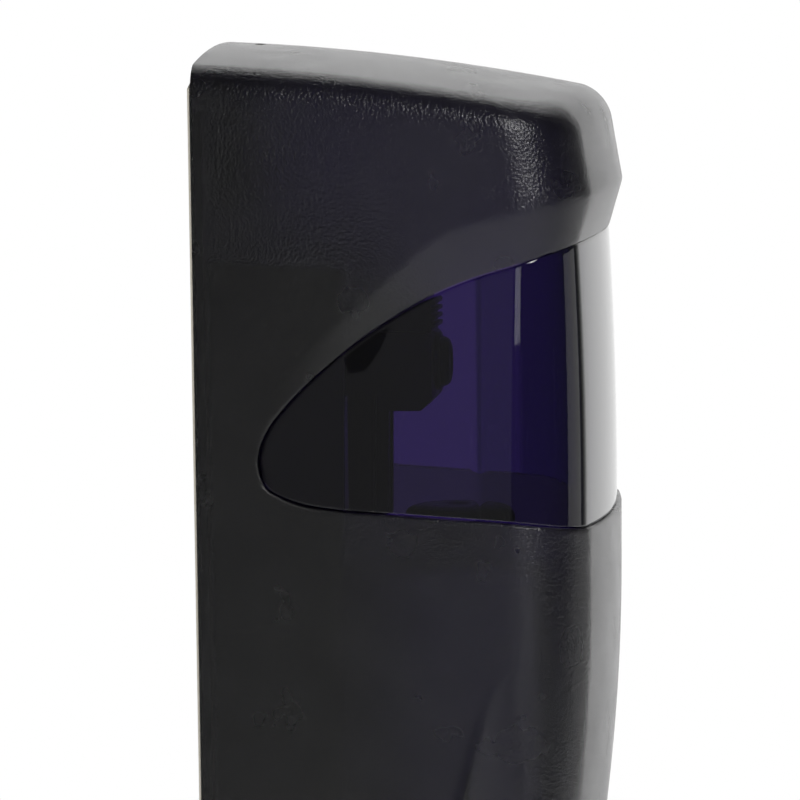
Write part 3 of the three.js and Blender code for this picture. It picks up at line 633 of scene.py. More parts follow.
def cover_rows():
    """Row curves from the lower edge to the shoulder. Each is (drop of a column, side of the window)."""
    rows = []
    for step in EDGE_STEPS:
        rows.append((lambda g, s=step: cover_edge(g[1]) - s, "low"))
    spans = 44
    for k in range(1, spans):
        rows.append((lambda g, t=k / spans: lerp(cover_edge(g[1]) - EDGE_STEPS[-1],
                                                 window_bottom(g[1]) + EDGE_STEPS[-1], t), "low"))
    for step in reversed(EDGE_STEPS):
        rows.append((lambda g, s=step: window_bottom(g[1]) + s, "low"))
    for share in BROW_SHARES:
        rows.append((lambda g, t=share: over_window(g[1], t), "high"))
    upper = 10
    last = BROW_SHARES[-1]
    for k in range(1, upper + 1):
        rows.append((lambda g, t=k / upper: lerp(over_window(g[1], last), shoulder(*g), t), "high"))
    return rows


def body_point(column, side, drop, half, inset, set_back=0.0, extra=0.0):
    """A point of the body's form. inset(depth, drop) is how far it lies in; side is +1 or -1."""
    x, y, nx, ny = place(column, front_depth(drop) - set_back, half)
    amount = inset(-y, drop) + extra
    x, y = x + nx * amount, y + ny * amount
    if half == HALF:
        x, y = scoop(x, y, drop)
    return side * x, y, at(drop)


def vertex_normals(points, faces):
    """Normals of a grid, averaged from its faces."""
    points = np.array(points, float)
    normals = np.zeros_like(points)
    for face in faces:
        corners = points[list(face)]
        across_a = corners[2] - corners[0]
        across_b = corners[3] - corners[1] if len(face) == 4 else corners[1] - corners[0]
        normal = np.cross(across_a, across_b)
        for index in face:
            normals[index] += normal
    lengths = np.linalg.norm(normals, axis=1, keepdims=True)
    return normals / np.maximum(lengths, 1e-12)


def window_distance(depth, drop):
    """Shortest distance in side view from a point to the window's outline."""
    return float(np.min(np.hypot(OUTLINE[:, 0] - depth, OUTLINE[:, 1] - drop)))


def outline_points():
    depths = np.concatenate([16.4 + np.linspace(0, 1, 60) ** 2 * 12, np.linspace(28.6, 108, 160)])
    upper = [(d, window_top(d)) for d in depths]
    lower = [(d, window_bottom(d)) for d in depths]
    return np.array(upper + lower)


OUTLINE = outline_points()


def lip(distance):
    """How far a rounded edge falls away at a distance from it."""
    into = min(LIP_RADIUS, max(0.0, LIP_RADIUS - distance))
    return LIP_RADIUS - math.sqrt(LIP_RADIUS**2 - into**2)


def make_cover():
    right = columns(COVER_SIDE_DEPTHS)
    ring = [(c, 1) for c in right] + [(c, -1) for c in reversed(right[:-1])]
    guides = []
    for column, side in ring:
        x, y, _, _ = place(column, NOMINAL_DEPTH, HALF)
        guides.append((x, -y))
    rows = cover_rows()
    points, fall = [], []
    index = {}
    for r, (drop_of, part) in enumerate(rows):
        for c, (column, side) in enumerate(ring):
            drop = drop_of(guides[c])
            behind_tip = guides[c][1] <= TIP[0] + 1e-6
            if part == "high" and rows[r - 1][1] == "low" and behind_tip:
                index[r, c] = index[r - 1, c]
                continue
            index[r, c] = len(points)
            inset = brow_inset if part == "high" else (lambda d, h: 0.0)
            points.append(body_point(column, side, drop, HALF, inset))
            to_window = window_distance(guides[c][1], drop)
            vertical = abs(cover_edge(guides[c][1]) - drop)
            steep = 3.7 if 42 < guides[c][1] < 57.8 else 1.0
            fall.append(max(lip(to_window), lip(vertical / steep)))
    faces = []
    for r in range(len(rows) - 1):
        opening = rows[r][1] == "low" and rows[r + 1][1] == "high"
        if opening:
            continue
        for c in range(len(ring) - 1):
            quad = (index[r, c], index[r, c + 1], index[r + 1, c + 1], index[r + 1, c])
            faces.append(quad)
    # The shoulder carries a closed ring over the rear, then rounds into the roof.
    across_steps = 28
    top_row = len(rows) - 1
    ring_ids = [index[top_row, c] for c in range(len(ring))]
    rear_xs = [HALF - 2 * HALF * k / across_steps for k in range(1, across_steps)]

    def closed_ring(extra, drop_of, first=None):
        ids = []
        for c, (column, side) in enumerate(ring):
            if first:
                ids.append(first[c])
                continue
            drop = drop_of(guides[c][0], guides[c][1])
            x, y, nx, ny = place(column, front_depth(drop), HALF)
            x, y = x + nx * extra, y + ny * extra
            y = REAR if column == right[0] else min(y, REAR - 0.02)
            ids.append(len(points))
            points.append((side * x, y, at(drop_of(abs(x), -y))))
            fall.append(0.0)
        for x in reversed(rear_xs):
            x_in = x * (HALF - extra) / HALF
            ids.append(len(points))
            points.append((x_in, REAR, at(drop_of(abs(x_in), -REAR))))
            fall.append(0.0)
        return ids

    lower_ring = closed_ring(0, lambda x, d: shoulder(x, d), first=ring_ids)
    rings = [lower_ring]
    for share in (0.35, 0.7):
        rings.append(closed_ring(0, lambda x, d, t=share: roof_drop(x, d) + ROOF_EDGE + 7 * (1 - t)))
    rounding = 9
    for k in range(rounding + 1):
        angle = math.pi / 2 * k / rounding
        extra = ROOF_EDGE * (1 - math.cos(angle))
        fallen = ROOF_EDGE * (1 - math.sin(angle))
        rings.append(closed_ring(extra, lambda x, d, f=fallen: roof_drop(x, d) + f))
    count = len(rings[0])
    for low, high in zip(rings, rings[1:]):
        for c in range(count):
            j = (c + 1) % count
            faces.append((low[c], low[j], high[j], high[c]))
    # The roof: lines across from each right column to its mirror image.
    top = rings[-1]
    lines = []
    middle = len(right) - 1
    for c in range(middle):
        a, b = top[c], top[2 * middle - c]
        if c == 0:
            line = [a] + list(reversed(top[2 * middle + 1:])) + [b]
        else:
            line = [a]
            for k in range(1, across_steps):
                x = lerp(points[a][0], points[b][0], k / across_steps)
                y = points[a][1]
                line.append(len(points))
                points.append((x, y, at(roof_drop(abs(x), -y))))
                fall.append(0.0)
            line.append(b)
        lines.append(line)
    lines.append([top[middle]] * (across_steps + 1))
    key_slot_half, key_slot_near, key_slot_far = 4.0, 9.4, 12.0
    for first, second in zip(lines, lines[1:]):
        for k in range(across_steps):
            quad = (second[k], second[k + 1], first[k + 1], first[k])
            middle_point = np.mean([points[i] for i in quad], axis=0)
            if abs(middle_point[0]) < key_slot_half and key_slot_near < -middle_point[1] < key_slot_far:
                continue
            faces.append(tuple(dict.fromkeys(quad)))
    return thick_shell("front_cover", points, faces, fall, WALL)


def thick_shell(name, points, faces, fall, wall):
    """Gives a surface a wall, even or varying, with its outer edges rounded where fall is above zero."""
    faces = [f for f in faces if len(set(f)) >= 3]
    used = sorted({i for f in faces for i in f})
    renumber = {old: new for new, old in enumerate(used)}
    faces = [tuple(renumber[i] for i in f) for f in faces]
    points = np.array([points[i] for i in used], float)
    fall = np.array([fall[i] for i in used], float)
    wall = np.array([wall(-y) for y in points[:, 1]]) if callable(wall) else np.full(len(points), wall)
    normals = vertex_normals(points, faces)
    centre = np.array([0.0, -50.0, 0.0])
    if np.sum(np.einsum("ij,ij->i", normals, points - centre) * 1.0) < 0:
        normals = -normals
    outer = points - normals * fall[:, None]
    inner = points - normals * wall[:, None]
    rear = points[:, 1] > REAR - 0.05
    inner[rear, 1] = points[rear, 1]
    count = len(points)
    edges = {}
    for face in faces:
        for a, b in zip(face, face[1:] + face[:1]):
            edges[a, b] = edges.get((a, b), 0) + 1
    rim = [(b, a, a + count, b + count) for (a, b) in edges if (b, a) not in edges]
    inside = [tuple(i + count for i in reversed(face)) for face in faces]
    shell = new_object(name, np.vstack([outer, inner]).tolist(), [*faces, *inside, *rim])
    return tidy(shell, angle=50, merge=0.0005)


def make_window():
    """The curved sight window, a little inside its opening, with rounded edges."""
    side = [
        16.62, 16.75, 17.0, 17.4, 18.0, 18.8, 19.8, 21.2, 23, 25.5, 28.5, 32, 36, 40, 44, 48, 52, 56, 59.5]
    right = columns(side)
    ring = [(c, 1) for c in right] + [(c, -1) for c in reversed(right[:-1])]
    play = 0.12
    steps = [0.0, 0.07, 0.16, 0.3, 0.5, 0.8, 1.4, 2.6, 4.5]
    interior = 14
    points, fall, faces = [], [], []
    row_count = 2 * len(steps) + interior - 1
    for r in range(row_count):
        for column, mirror in ring:
            x, y, _, _ = place(column, NOMINAL_DEPTH, HALF)
            depth = -y
            low = window_bottom(max(TIP[0], depth)) - play
            high = window_top(max(TIP[0], depth)) + play
            span = low - high
            scale = min(1.0, span / (2.6 * steps[-1]))
            if r < len(steps):
                drop = low - steps[r] * scale
            elif r >= row_count - len(steps):
                drop = high + steps[row_count - 1 - r] * scale
            else:
                t = (r - len(steps) + 1) / interior
                drop = lerp(low - steps[-1] * scale, high + steps[-1] * scale, t)
            points.append(body_point(column, mirror, drop, HALF, window_inset))
            fall.append(lip(window_distance(depth, drop) - play) * 0.6)
    width = len(ring)
    for r in range(row_count - 1):
        for c in range(width - 1):
            faces.append((r * width + c, r * width + c + 1, (r + 1) * width + c + 1, (r + 1) * width + c))
    return thick_shell("sight_window", points, faces, fall, window_wall)


# ---------------------------------------------------------------- push bar
BAR_HALF = 59.2
BAR_WALL = 2.2
BAR_TOP = 234.6
BAR_BOTTOM = 293.0
BAR_SIDE_DEPTHS = [38.0, 38.12, 38.4, 39, 40, 41, 43, 45.5, 48, 50.5, 52.5, 54, 56, 59]


def bar_top(depth):
    return straight_through([(38, BAR_BOTTOM - 3), (54, BAR_TOP + 9), (70, BAR_TOP + 5.6),
                             (82, BAR_TOP + 1), (130, BAR_TOP)])(depth)


def bar_bottom(depth):
    return straight_through([(38, BAR_BOTTOM - 3), (41, BAR_BOTTOM), (130, BAR_BOTTOM)])(depth)


def make_push_bar():
    right = columns(BAR_SIDE_DEPTHS)
    ring = [(c, 1) for c in right] + [(c, -1) for c in reversed(right[:-1])]
    interior = 22
    count = 2 * len(EDGE_STEPS) + interior - 1
    points, fall, faces = [], [], []
    for r in range(count):
        for column, side in ring:
            _, y, _, _ = place(column, NOMINAL_DEPTH, BAR_HALF)
            low, high = bar_bottom(-y) + 0.001, bar_top(-y)
            scale = min(1.0, (low - high) / (2.4 * EDGE_STEPS[-1]))
            if r < len(EDGE_STEPS):
                drop = low - EDGE_STEPS[r] * scale
            elif r >= count - len(EDGE_STEPS):
                drop = high + EDGE_STEPS[count - 1 - r] * scale
            else:
                t = (r - len(EDGE_STEPS) + 1) / interior
                drop = lerp(low - EDGE_STEPS[-1] * scale, high + EDGE_STEPS[-1] * scale, t)
            points.append(body_point(column, side, drop, BAR_HALF, lambda d, h: 0.0, 0.6))
            fall.append(lip(min(low - drop, drop - high) / max(scale, 0.2)))
    width = len(ring)
    for r in range(count - 1):
        for c in range(width - 1):
            faces.append((r * width + c, r * width + c + 1, (r + 1) * width + c + 1, (r + 1) * width + c))
    return thick_shell("push_bar_shell", points, faces, fall, BAR_WALL)


def make_bar_ribs():
    """The two ribs that carry the pivot pins, and the pad that the lifting fork is screwed to."""
    pivot_y, pivot_z = -82.0, at(241)
    top, foot = BAR_TOP + 2.5, 261
    outline = [(4.6 - front_depth(top), at(top)), (pivot_y + 1, pivot_z + 4), (pivot_y + 4, pivot_z),
               (pivot_y + 1, pivot_z - 4), (4.6 - front_depth(foot), at(foot))]

    def rib():
        return combined("bar_rib", [across(outline, (43.3, 45.8))],
                        [rod("x", (40, 50), 2.15, (pivot_y, pivot_z))], 0.35)

    def pad(side):
        block = box((side * 22, side * 11), (2.6 - front_depth(280), -82.8), (at(280), at(268)))
        hole = rod("y", (-88, -75), 1.6, (side * 17, at(274)))
        return combined("bar_pad", [block], [hole], 0.5)

    pads = [pad(side) for side in (-1, 1)]
    return [*both(rib), *pads]


# ---------------------------------------------------------------- back plate, gasket and carrier
def refined(node, bevel, name=None):
    """A copy of a CAD node with its flat faces made whole and its edges rounded."""
    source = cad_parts[node]
    piece = bpy.data.objects.new(name or node + "_fine", source.data.copy())
    bpy.context.scene.collection.objects.link(piece)
    bm = bmesh.new()
    bm.from_mesh(piece.data)
    bmesh.ops.remove_doubles(bm, verts=bm.verts, dist=0.005 * MM)
    bmesh.ops.dissolve_limit(bm, angle_limit=math.radians(0.6), verts=bm.verts, edges=bm.edges)
    bm.to_mesh(piece.data)
    bm.free()
    bevelled(piece, bevel, 2)
    tidy(piece, merge=0.003)
    shading = piece.modifiers.new("shading", "WEIGHTED_NORMAL")
    shading.keep_sharp = True
    return apply_modifiers(piece)


# ---------------------------------------------------------------- reservoir
TANK = {"half": 53.0, "rear": -12.0, "front": -88.0, "top": 134.0, "bottom": 240.0, "wall": 2.0, "bevel": 5.0}
FILLER_Y = -61.0
FILLER_RADIUS = 12.0
PUMP_Y = -50.0


def tank_body(inset):
    half, top, bottom = TANK["half"] - inset, at(TANK["top"]) - inset, at(TANK["bottom"]) + inset
    rear, front = TANK["rear"] - inset, TANK["front"] + inset
    outline = [(rear, bottom + 14), (rear, top), (front, top), (front, bottom + 23), (front + 20, bottom),
               (rear - 18, bottom)]
    return bevelled(across(outline, (-half, half)), TANK["bevel"] - inset, 6, 15)


def make_reservoir():
    top = at(TANK["top"])
    neck = rod("z", (top - 2, at(127.5)), FILLER_RADIUS, (0, FILLER_Y), 64)
    rings = [turned([(FILLER_RADIUS - 0.5, z), (FILLER_RADIUS + 0.25, z + 0.35), (FILLER_RADIUS - 0.5, z + 0.7)],
                    (0, FILLER_Y), segments=64) for z in (top + 1.6, top + 3.6)]
    spout = rod("z", (at(249), at(238)), 9, (0, PUMP_Y), 56)
    ledge = box((-7, 7), (-43, -36), (top - 1, at(130.6)))
    bore = rod("z", (at(142), at(120)), FILLER_RADIUS - 2, (0, FILLER_Y), 64)
    outlet = rod("z", (at(255), at(230)), 7.2, (0, PUMP_Y), 56)
    return combined("reservoir_tank", [tank_body(0), neck, *rings, spout, ledge],
                    [tank_body(TANK["wall"]), bore, outlet], 0)


def ribbed(profile, centre, ribs, depth, segments_per_rib=6):
    """A turned piece whose marked profile points (radius, z, True) carry grip ribs."""
    segments = ribs * segments_per_rib
    points, faces, rows = [], [], []
    for radius, z, *mark in profile:
        row = []
        for k in range(1 if radius < 1e-6 else segments):
            angle = 2 * math.pi * k / segments
            r = radius - (depth * max(0.0, math.cos(ribs * angle)) ** 0.6 if mark else 0)
            row.append(len(points))
            points.append((centre[0] + r * math.cos(angle), centre[1] + r * math.sin(angle), z))
        rows.append(row)
    ring = profile[0][0] > 1e-6
    for low, high in list(zip(rows, rows[1:])) + ([(rows[-1], rows[0])] if ring else []):
        for k in range(segments):
            j = (k + 1) % segments
            corners = (low[k % len(low)], low[j % len(low)], high[j % len(high)], high[k % len(high)])
            faces.append(tuple(dict.fromkeys(corners)))
    return tidy(new_object("ribbed", points, faces), angle=40)


def make_filler_cap():
    top, skirt = at(124), at(133.4)
    outer, inner = FILLER_RADIUS + 2.6, FILLER_RADIUS + 0.3
    return ribbed([
        (0, top - 3.1), (inner - 0.4, top - 3.1), (inner, top - 3.5), (inner, skirt), (outer - 0.3, skirt),
        (outer, skirt + 0.3), (outer, skirt + 0.8, True), (outer, top - 3.6, True), (outer - 0.1, top - 2.8),
        (outer - 0.5, top - 1.9), (outer - 1.2, top - 1.1), (outer - 2.4, top - 0.5),
        (outer - 3.4, top - 0.25),
        (outer - 3.9, top - 0.5), (outer - 4.4, top - 0.22), (3.2, top), (2.8, top - 0.25), (0, top - 0.3),
    ], (0, FILLER_Y), 40, 0.45)


# ---------------------------------------------------------------- reservoir latch
BUTTON_Z = at(86.5)


def make_latch_housing():
    half, front, rear, top, bottom = 13.0, -55.6, -41.0, 78.0, 98.5
    panel = -6.8
    outline = [(rear, at(bottom)), (rear, at(top)), (front + 1.5, at(top)), (front, at(top + 1.5)),
               (front, at(bottom - 3)), (front + 3, at(bottom))]
    adds = [across(outline, (-half, half)),
            box((-half, half), (rear - 1, panel), (at(top + 2.5), at(top))),
            box((-9, 9), (-55.2, rear), (at(78.5), at(69.5))),
            rod("y", (front - 1.4, front + 2), 7.6, (0, BUTTON_Z), 56)]
    for side in (-1, 1):
        adds.append(box((side * (half - 2.5), side * half), (rear - 1, panel), (at(bottom - 4), at(top))))
        adds.append(box((side * (half - 1), side * (half + 10)), (-9.3, panel), (at(92), at(76))))
    for k in range(4):
        z = at(70.6 + 2 * k)
        adds.append(box((-9, 9), (-56.4, -55), (z - 0.5, z + 0.5)))
    cuts = [rod("y", (-70, -30), 3.15, (0, BUTTON_Z)), rod("y", (-70, -44.2), 5.4, (0, BUTTON_Z), 48),
            rod("y", (-70, front + 3.6), 6.85, (0, BUTTON_Z), 56),
            *[rod("y", (-20, 0), 1.7, (side * 18, at(84))) for side in (-1, 1)]]
    return combined("latch_housing_fine", adds, cuts, 0.35)


def make_release_button():
    return turned([
        (0, -26.4), (2.4, -26.4), (3, -27), (3, -55.9), (6.2, -55.9), (6.5, -56.2), (6.5, -57.6),
        (6.3, -58.4),
        (5.7, -59.1), (4.7, -59.5), (4.2, -59.4), (3.9, -59.15), (2.4, -58.95), (0, -58.9),
    ], (0, BUTTON_Z), "y", 64)


# ---------------------------------------------------------------- pump
def make_retaining_nut():
    inner = 9.3
    return ribbed([
        (inner, at(252.8)), (8.8, at(252.8)), (8.8, at(254)), (12.3, at(254)), (12.6, at(253.7)),
        (12.6, at(253.2), True), (12.6, at(246.2), True), (12.6, at(245.6)), (12.3, at(245.2)),
        (inner, at(245.2)),
    ], (0, PUMP_Y), 24, 0.5)


def make_pump_cylinder():
    cap = at(252.2)
    return turned([
        (3.2, at(249.6)), (8.6, at(249.6)), (8.9, at(249.9)), (8.9, cap), (8.4, cap), (8.4, at(266.2)),
        (8.8, at(266.4)), (8.8, at(268)), (7.2, at(268)), (7, at(267.7)), (7, cap), (3.2, cap),
    ], (0, PUMP_Y), segments=56)


def make_inlet_valve():
    return turned([
        (0, at(253.6)), (3, at(253.4)), (5.2, at(253.1)), (5.4, at(252.85)), (5.2, at(252.6)), (1.2, at(252.6)),
        (1.2, at(249)), (0.8, at(248.6)), (0, at(248.6)),
    ], (0, PUMP_Y), segments=40)


def make_piston():
    top, flange, tip = at(263.6), at(281), at(291)
    return turned([
        (2.4, top), (6.0, top), (6.2, top - 0.2), (6.2, top - 1.2), (5.2, top - 1.2), (5.2, top - 2.8),
        (6.2, top - 2.8), (6.2, top - 4), (4.4, top - 4.2), (4.4, flange + 0.6), (5, flange), (10.7, flange),
        (11, flange - 0.3), (11, flange - 2.1), (10.7, flange - 2.4), (5, flange - 2.4), (4.4, flange - 3),
        (4.4, tip + 0.3), (4.1, tip), (2.4, tip),
    ], (0, PUMP_Y), segments=56)


def make_seal():
    middle = at(263.6) - 2
    angles = [k * math.pi / 8 for k in range(16)]
    section = [(6.1 + 0.65 * math.cos(a), middle + 0.65 * math.sin(a)) for a in angles]
    return turned(section, (0, PUMP_Y), segments=56)


def make_nozzle():
    top, end = at(286), at(299)
    return turned([
        (4.7, top), (6.9, top), (7.2, top - 0.3), (7.2, top - 3.6), (6.9, top - 4.3), (6.5, top - 4.9),
        (5.1, end + 1.2),
        (4.9, end + 0.3), (4.6, end), (3.5, end), (3.2, end + 0.3), (3.2, at(292.2)), (4.7, at(291.3)),
    ], (0, PUMP_Y), segments=56)


def make_outlet_valve():
    return turned([(0, at(297.4)), (2.9, at(293.4)), (2.9, at(292.6)), (2.0, at(292.6)), (0, at(295.8))],
                  (0, PUMP_Y), segments=40)


# ---------------------------------------------------------------- pins and screws
def make_pin(node):
    """A steel pin with chamfered ends, along X."""
    low, high = (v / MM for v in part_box(node))
    radius = (high.z - low.z) / 2
    centre = ((low.y + high.y) / 2, (low.z + high.z) / 2)
    c = 0.35
    profile = [(0, low.x), (radius - c, low.x), (radius, low.x + c),
               (radius, high.x - c), (radius - c, high.x), (0, high.x)]
    return turned(profile, centre, "x", 40)


def make_screw(node, way=1):
    """A pan head screw with a cross recess and a threaded shank; way +1 drives it toward the wall."""
    low, high = (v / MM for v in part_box(node))
    centre = ((low.x + high.x) / 2, (low.z + high.z) / 2)
    start, end = (low.y, high.y) if way > 0 else (high.y, low.y)
    head_radius, head_height = (high.x - low.x) / 2, 2.2

    def along(distance):
        return start + way * distance

    head = turned([
        (0, along(0)), (1.6, along(0.05)), (2.5, along(0.3)), (3.1, along(0.75)), (head_radius, along(1.4)),
        (head_radius, along(head_height - 0.15)), (head_radius - 0.15, along(head_height)),
        (0, along(head_height)),
    ], centre, "y", 48)
    arms = []
    for wide, tall in ((0.42, 1.75), (1.75, 0.42)):
        arms.append(box((centre[0] - wide, centre[0] + wide), (along(-0.5), along(1.15)),
                        (centre[1] - tall, centre[1] + tall)))
    head = combined("head", [head], arms, 0.08, 1)
    length = abs(end - start)
    pitch, profile = 0.9, [(0, along(head_height - 0.3)), (1.25, along(head_height - 0.3))]
    distance = head_height + 0.4
    while distance < length - 1.6:
        profile += [(1.2, along(distance)), (1.5, along(distance + pitch / 2))]
        distance += pitch
    profile += [(1.2, along(distance)), (0.9, along(length - 0.8)), (0, along(length))]
    shank = turned(profile, centre, "y", 32)
    with bpy.context.temp_override(active_object=head, selected_editable_objects=[head, shank]):
        bpy.ops.object.join()
    return head


# ---------------------------------------------------------------- everything in place
def place_cover():
    finish_piece(make_cover(), "cover_shell", "tinted_cover", "cover", "front_cover")
    finish_piece(make_window(), "window_pane", "tinted_window", "cover", "sight_window")
    keeper = combined("keeper", [box((-6, 6), (-7.8, -5.2), (at(19.3), at(4)))], (), 0.4)
    finish_piece(keeper, "cover_keeper_rib", "tinted_cover", "cover")

    def boss():
        profile = [(2.15, 59.6), (4.7, 59.6), (5, 59.9), (5, 62), (2.15, 62)]
        return turned(profile, (-HINGE_DEPTH, at(HINGE_DROP)), "x", 48)

    for piece, side in zip(both(boss), ("right", "left")):
        finish_piece(piece, f"cover_hinge_boss_{side}", "tinted_cover", "cover")


def place_wall_side():
    finish_piece(refined("rear_backplate", 0.5), "backplate_fine", "black_abs", "base", "rear_backplate")
    gasket = refined("wall_gasket", 0.15)
    gasket.data.transform(Matrix.Diagonal((0.9985, 0.75, 0.999, 1)))
    finish_piece(gasket, "gasket_fine", "foam", "base", "wall_gasket")
    finish_piece(refined("reservoir_carrier", 0.4), "carrier_fine", "black_abs", "base", "reservoir_carrier")
    finish_piece(refined("cover_latch", 0.4), "cover_latch_fine", "black_abs", "latch", "cover_latch")
    coil = spring("latch_spring", (0, -7.4), (at(43.2), at(34.3)), 2.6, 0.35, 5)
    finish_piece(coil, "cover_latch_spring_fine", "steel", "base", "cover_latch_spring")
    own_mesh(coil)
    for side in ("right", "left"):
        for node in (f"cover_hinge_pin_{side}", f"bar_pivot_pin_{side}"):
            finish_piece(make_pin(node), node + "_fine", "steel", "base", node)
    for node in [f"carrier_screw_{k}" for k in (1, 2, 3, 4)] + ["latch_screw_1", "latch_screw_2"]:
        finish_piece(make_screw(node), node + "_fine", "steel", "base", node)


def place_reservoir():
    finish_piece(make_reservoir(), "reservoir_tank", "clear_tank", "base", "reservoir")
    finish_piece(make_filler_cap(), "filler_cap_fine", "black_abs", "cap", "filler_cap")
    finish_piece(make_latch_housing(), "latch_housing_fine", "black_abs", "base", "latch_housing")
    finish_piece(make_release_button(), "release_button_fine", "black_abs", "release", "release_button")
    finish_piece(refined("latch_hook", 0.35), "latch_hook_fine", "natural_acetal", "release", "latch_hook")
    coil = spring("button_spring", (0, BUTTON_Z), (-55.6, -48.4), 4.4, 0.4, 4, "y")
    finish_piece(coil, "button_spring_fine", "steel", "release", "button_spring")
    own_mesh(coil)


def place_pump():
    turned_pieces = {
        "retaining_nut": (make_retaining_nut, "natural_acetal", "base"),
        "pump_cylinder": (make_pump_cylinder, "natural_acetal", "base"),
        "inlet_valve": (make_inlet_valve, "elastomer", "base"),
        "pump_piston": (make_piston, "natural_acetal", "piston"),
        "piston_seal": (make_seal, "elastomer", "piston"),
        "outlet_nozzle": (make_nozzle, "elastomer", "piston"),
        "outlet_valve": (make_outlet_valve, "elastomer", "piston"),
    }
    for node, (make, slot, body) in turned_pieces.items():
        finish_piece(make(), node + "_fine", slot, body, node)
    coil = spring("pump_spring", (0, PUMP_Y), (at(280.7), at(254.3)), 9.8, 0.55, 6)
    finish_piece(coil, "pump_spring_fine", "steel", "base", "pump_spring")
    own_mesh(coil)


def place_push_bar():
    finish_piece(make_push_bar(), "push_bar_shell", "bar_abs", "bar", "push_bar")
    for number, piece in enumerate(make_bar_ribs(), 1):
        finish_piece(piece, f"push_bar_rib_{number}", "bar_abs", "bar")
    finish_piece(refined("lifting_fork", 0.35), "lifting_fork_fine", "natural_acetal", "bar", "lifting_fork")
    for node in ("fork_screw_1", "fork_screw_2"):
        finish_piece(make_screw(node, -1), node + "_fine", "steel", "bar", node)


# ---------------------------------------------------------------- stage, light and camera
def make_camera():
    """Side view from the left, a little from the front and from above; the top two thirds fill the frame."""
    toward_front, above, roll = math.radians(6.5), math.radians(4.9), math.radians(0.82)
    azimuth = -(math.pi / 2 - toward_front)
    level = math.cos(above)
    back = Vector((math.sin(azimuth) * level, -math.cos(azimuth) * level, math.sin(above)))
    target = Vector((cad_low.x, cad_low.y * 0.51, at(91.2) * MM))
    data = bpy.data.cameras.new("camera")
    data.sensor_width = 36
    data.lens = 267.8
    data.clip_start = 0.01
    data.clip_end = 50
    camera = bpy.data.objects.new("camera", data)
    camera.location = target + back * 1.5
    camera.rotation_mode = "QUATERNION"
    camera.rotation_quaternion = (-back).to_track_quat("-Z", "Y") @ Quaternion((0, 0, 1), -roll)
    bpy.context.scene.collection.objects.link(camera)
    bpy.context.scene.camera = camera


def make_floor():
    reach, level = 1500, -330
    corners = [(-reach, -reach, level), (reach, -reach, level), (reach, reach, level), (-reach, reach, level)]
    floor = new_object("floor", corners, [(0, 1, 2, 3)])
    made, nodes, links, shader = material("floor")
    tone = object_noise(nodes, links, 3, 3.0)
    links.new(mixed(nodes, links, tone, (0.86, 0.86, 0.86), (0.9, 0.9, 0.9)), shader.inputs["Base Color"])
    shader.inputs["Roughness"].default_value = 0.8
    shader.inputs["Emission Color"].default_value = (1, 1, 1, 1)
    shader.inputs["Emission Strength"].default_value = 0.3
    floor.data.materials.append(made)


def soft_box(name, direction, distance, size, power, target, colour=(1, 1, 1)):
    data = bpy.data.lights.new(name, "AREA")
    data.shape = "RECTANGLE"
    data.size, data.size_y = size
    data.energy = power
    data.color = colour
    lamp = bpy.data.objects.new(name, data)
    away = Vector(direction).normalized()
    lamp.location = Vector(target) + away * distance
    lamp.rotation_mode = "QUATERNION"
    lamp.rotation_quaternion = away.to_track_quat("Z", "Y")
    bpy.context.scene.collection.objects.link(lamp)


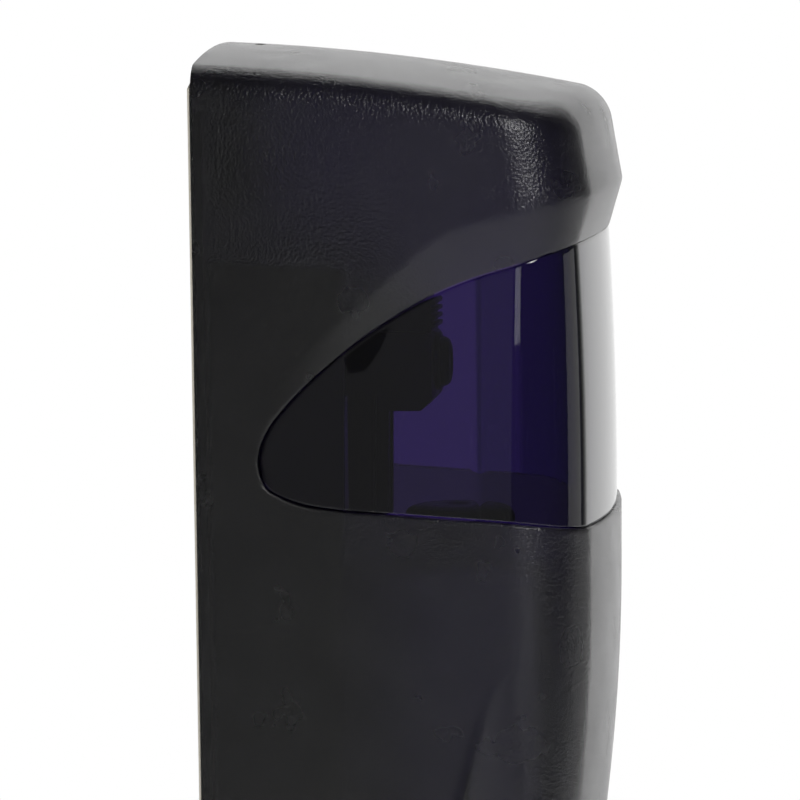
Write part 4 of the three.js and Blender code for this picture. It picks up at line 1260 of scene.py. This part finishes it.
def make_world():
    """A studio: a white backdrop beyond the object, and dim walls on the other sides."""
    world = bpy.data.worlds.new("studio")
    bpy.context.scene.world = world
    world.use_nodes = True
    nodes, links = world.node_tree.nodes, world.node_tree.links
    nodes.clear()
    output = nodes.new("ShaderNodeOutputWorld")
    coordinates = nodes.new("ShaderNodeTexCoord")
    toward = nodes.new("ShaderNodeVectorMath")
    toward.operation = "DOT_PRODUCT"
    toward.inputs[1].default_value = Vector((0.99, 0.10, -0.05)).normalized()
    taller = nodes.new("ShaderNodeVectorMath")
    taller.operation = "MULTIPLY"
    taller.inputs[1].default_value = (1, 1, 0.4)
    even = nodes.new("ShaderNodeVectorMath")
    even.operation = "NORMALIZE"
    links.new(coordinates.outputs["Generated"], taller.inputs[0])
    links.new(taller.outputs["Vector"], even.inputs[0])
    links.new(even.outputs["Vector"], toward.inputs[0])
    level = nodes.new("ShaderNodeMapRange")
    level.interpolation_type = "SMOOTHSTEP"
    level.inputs["From Min"].default_value = 0.66
    level.inputs["From Max"].default_value = 0.95
    level.inputs["To Min"].default_value = 0.1
    level.inputs["To Max"].default_value = 1.0
    links.new(toward.outputs["Value"], level.inputs["Value"])
    studio = nodes.new("ShaderNodeBackground")
    studio.inputs["Color"].default_value = (1, 1, 1, 1)
    links.new(level.outputs["Result"], studio.inputs["Strength"])
    backdrop = nodes.new("ShaderNodeBackground")
    backdrop.inputs["Color"].default_value = (1, 1, 1, 1)
    path = nodes.new("ShaderNodeLightPath")
    mix = nodes.new("ShaderNodeMixShader")
    links.new(path.outputs["Is Camera Ray"], mix.inputs[0])
    links.new(studio.outputs["Background"], mix.inputs[1])
    links.new(backdrop.outputs["Background"], mix.inputs[2])
    links.new(mix.outputs["Shader"], output.inputs["Surface"])


make_camera()
make_world()
make_floor()
soft_box("key_light", (-0.84, -0.42, 0.42), 1.5, (0.35, 0.7), 9, (0, -0.06, 0.08))
soft_box("window_light", (-0.985, -0.13, 0.09), 1.5, (0.24, 0.22), 0.3, (0, -0.06, 0.08))
soft_box("side_card", (-0.99, 0.11, -0.04), 1.5, (0.34, 0.6), 0.11, (0, -0.06, 0.08))
soft_box("front_card", (0.36, -0.93, -0.2), 1.5, (0.9, 0.7), 1.2, (0, -0.06, 0.08))
soft_box("top_light", (0.5, -0.2, 1.0), 1.6, (1.0, 1.0), 6, (0, -0.05, 0))

scene = bpy.context.scene
scene.view_settings.view_transform = "Standard"
scene.cycles.max_bounces = 12
scene.cycles.transmission_bounces = 12
scene.cycles.transparent_max_bounces = 8
scene.cycles.use_denoising = True
scene.cycles.denoising_prefilter = "ACCURATE"

place_cover()
place_wall_side()
place_reservoir()
place_pump()
place_push_bar()
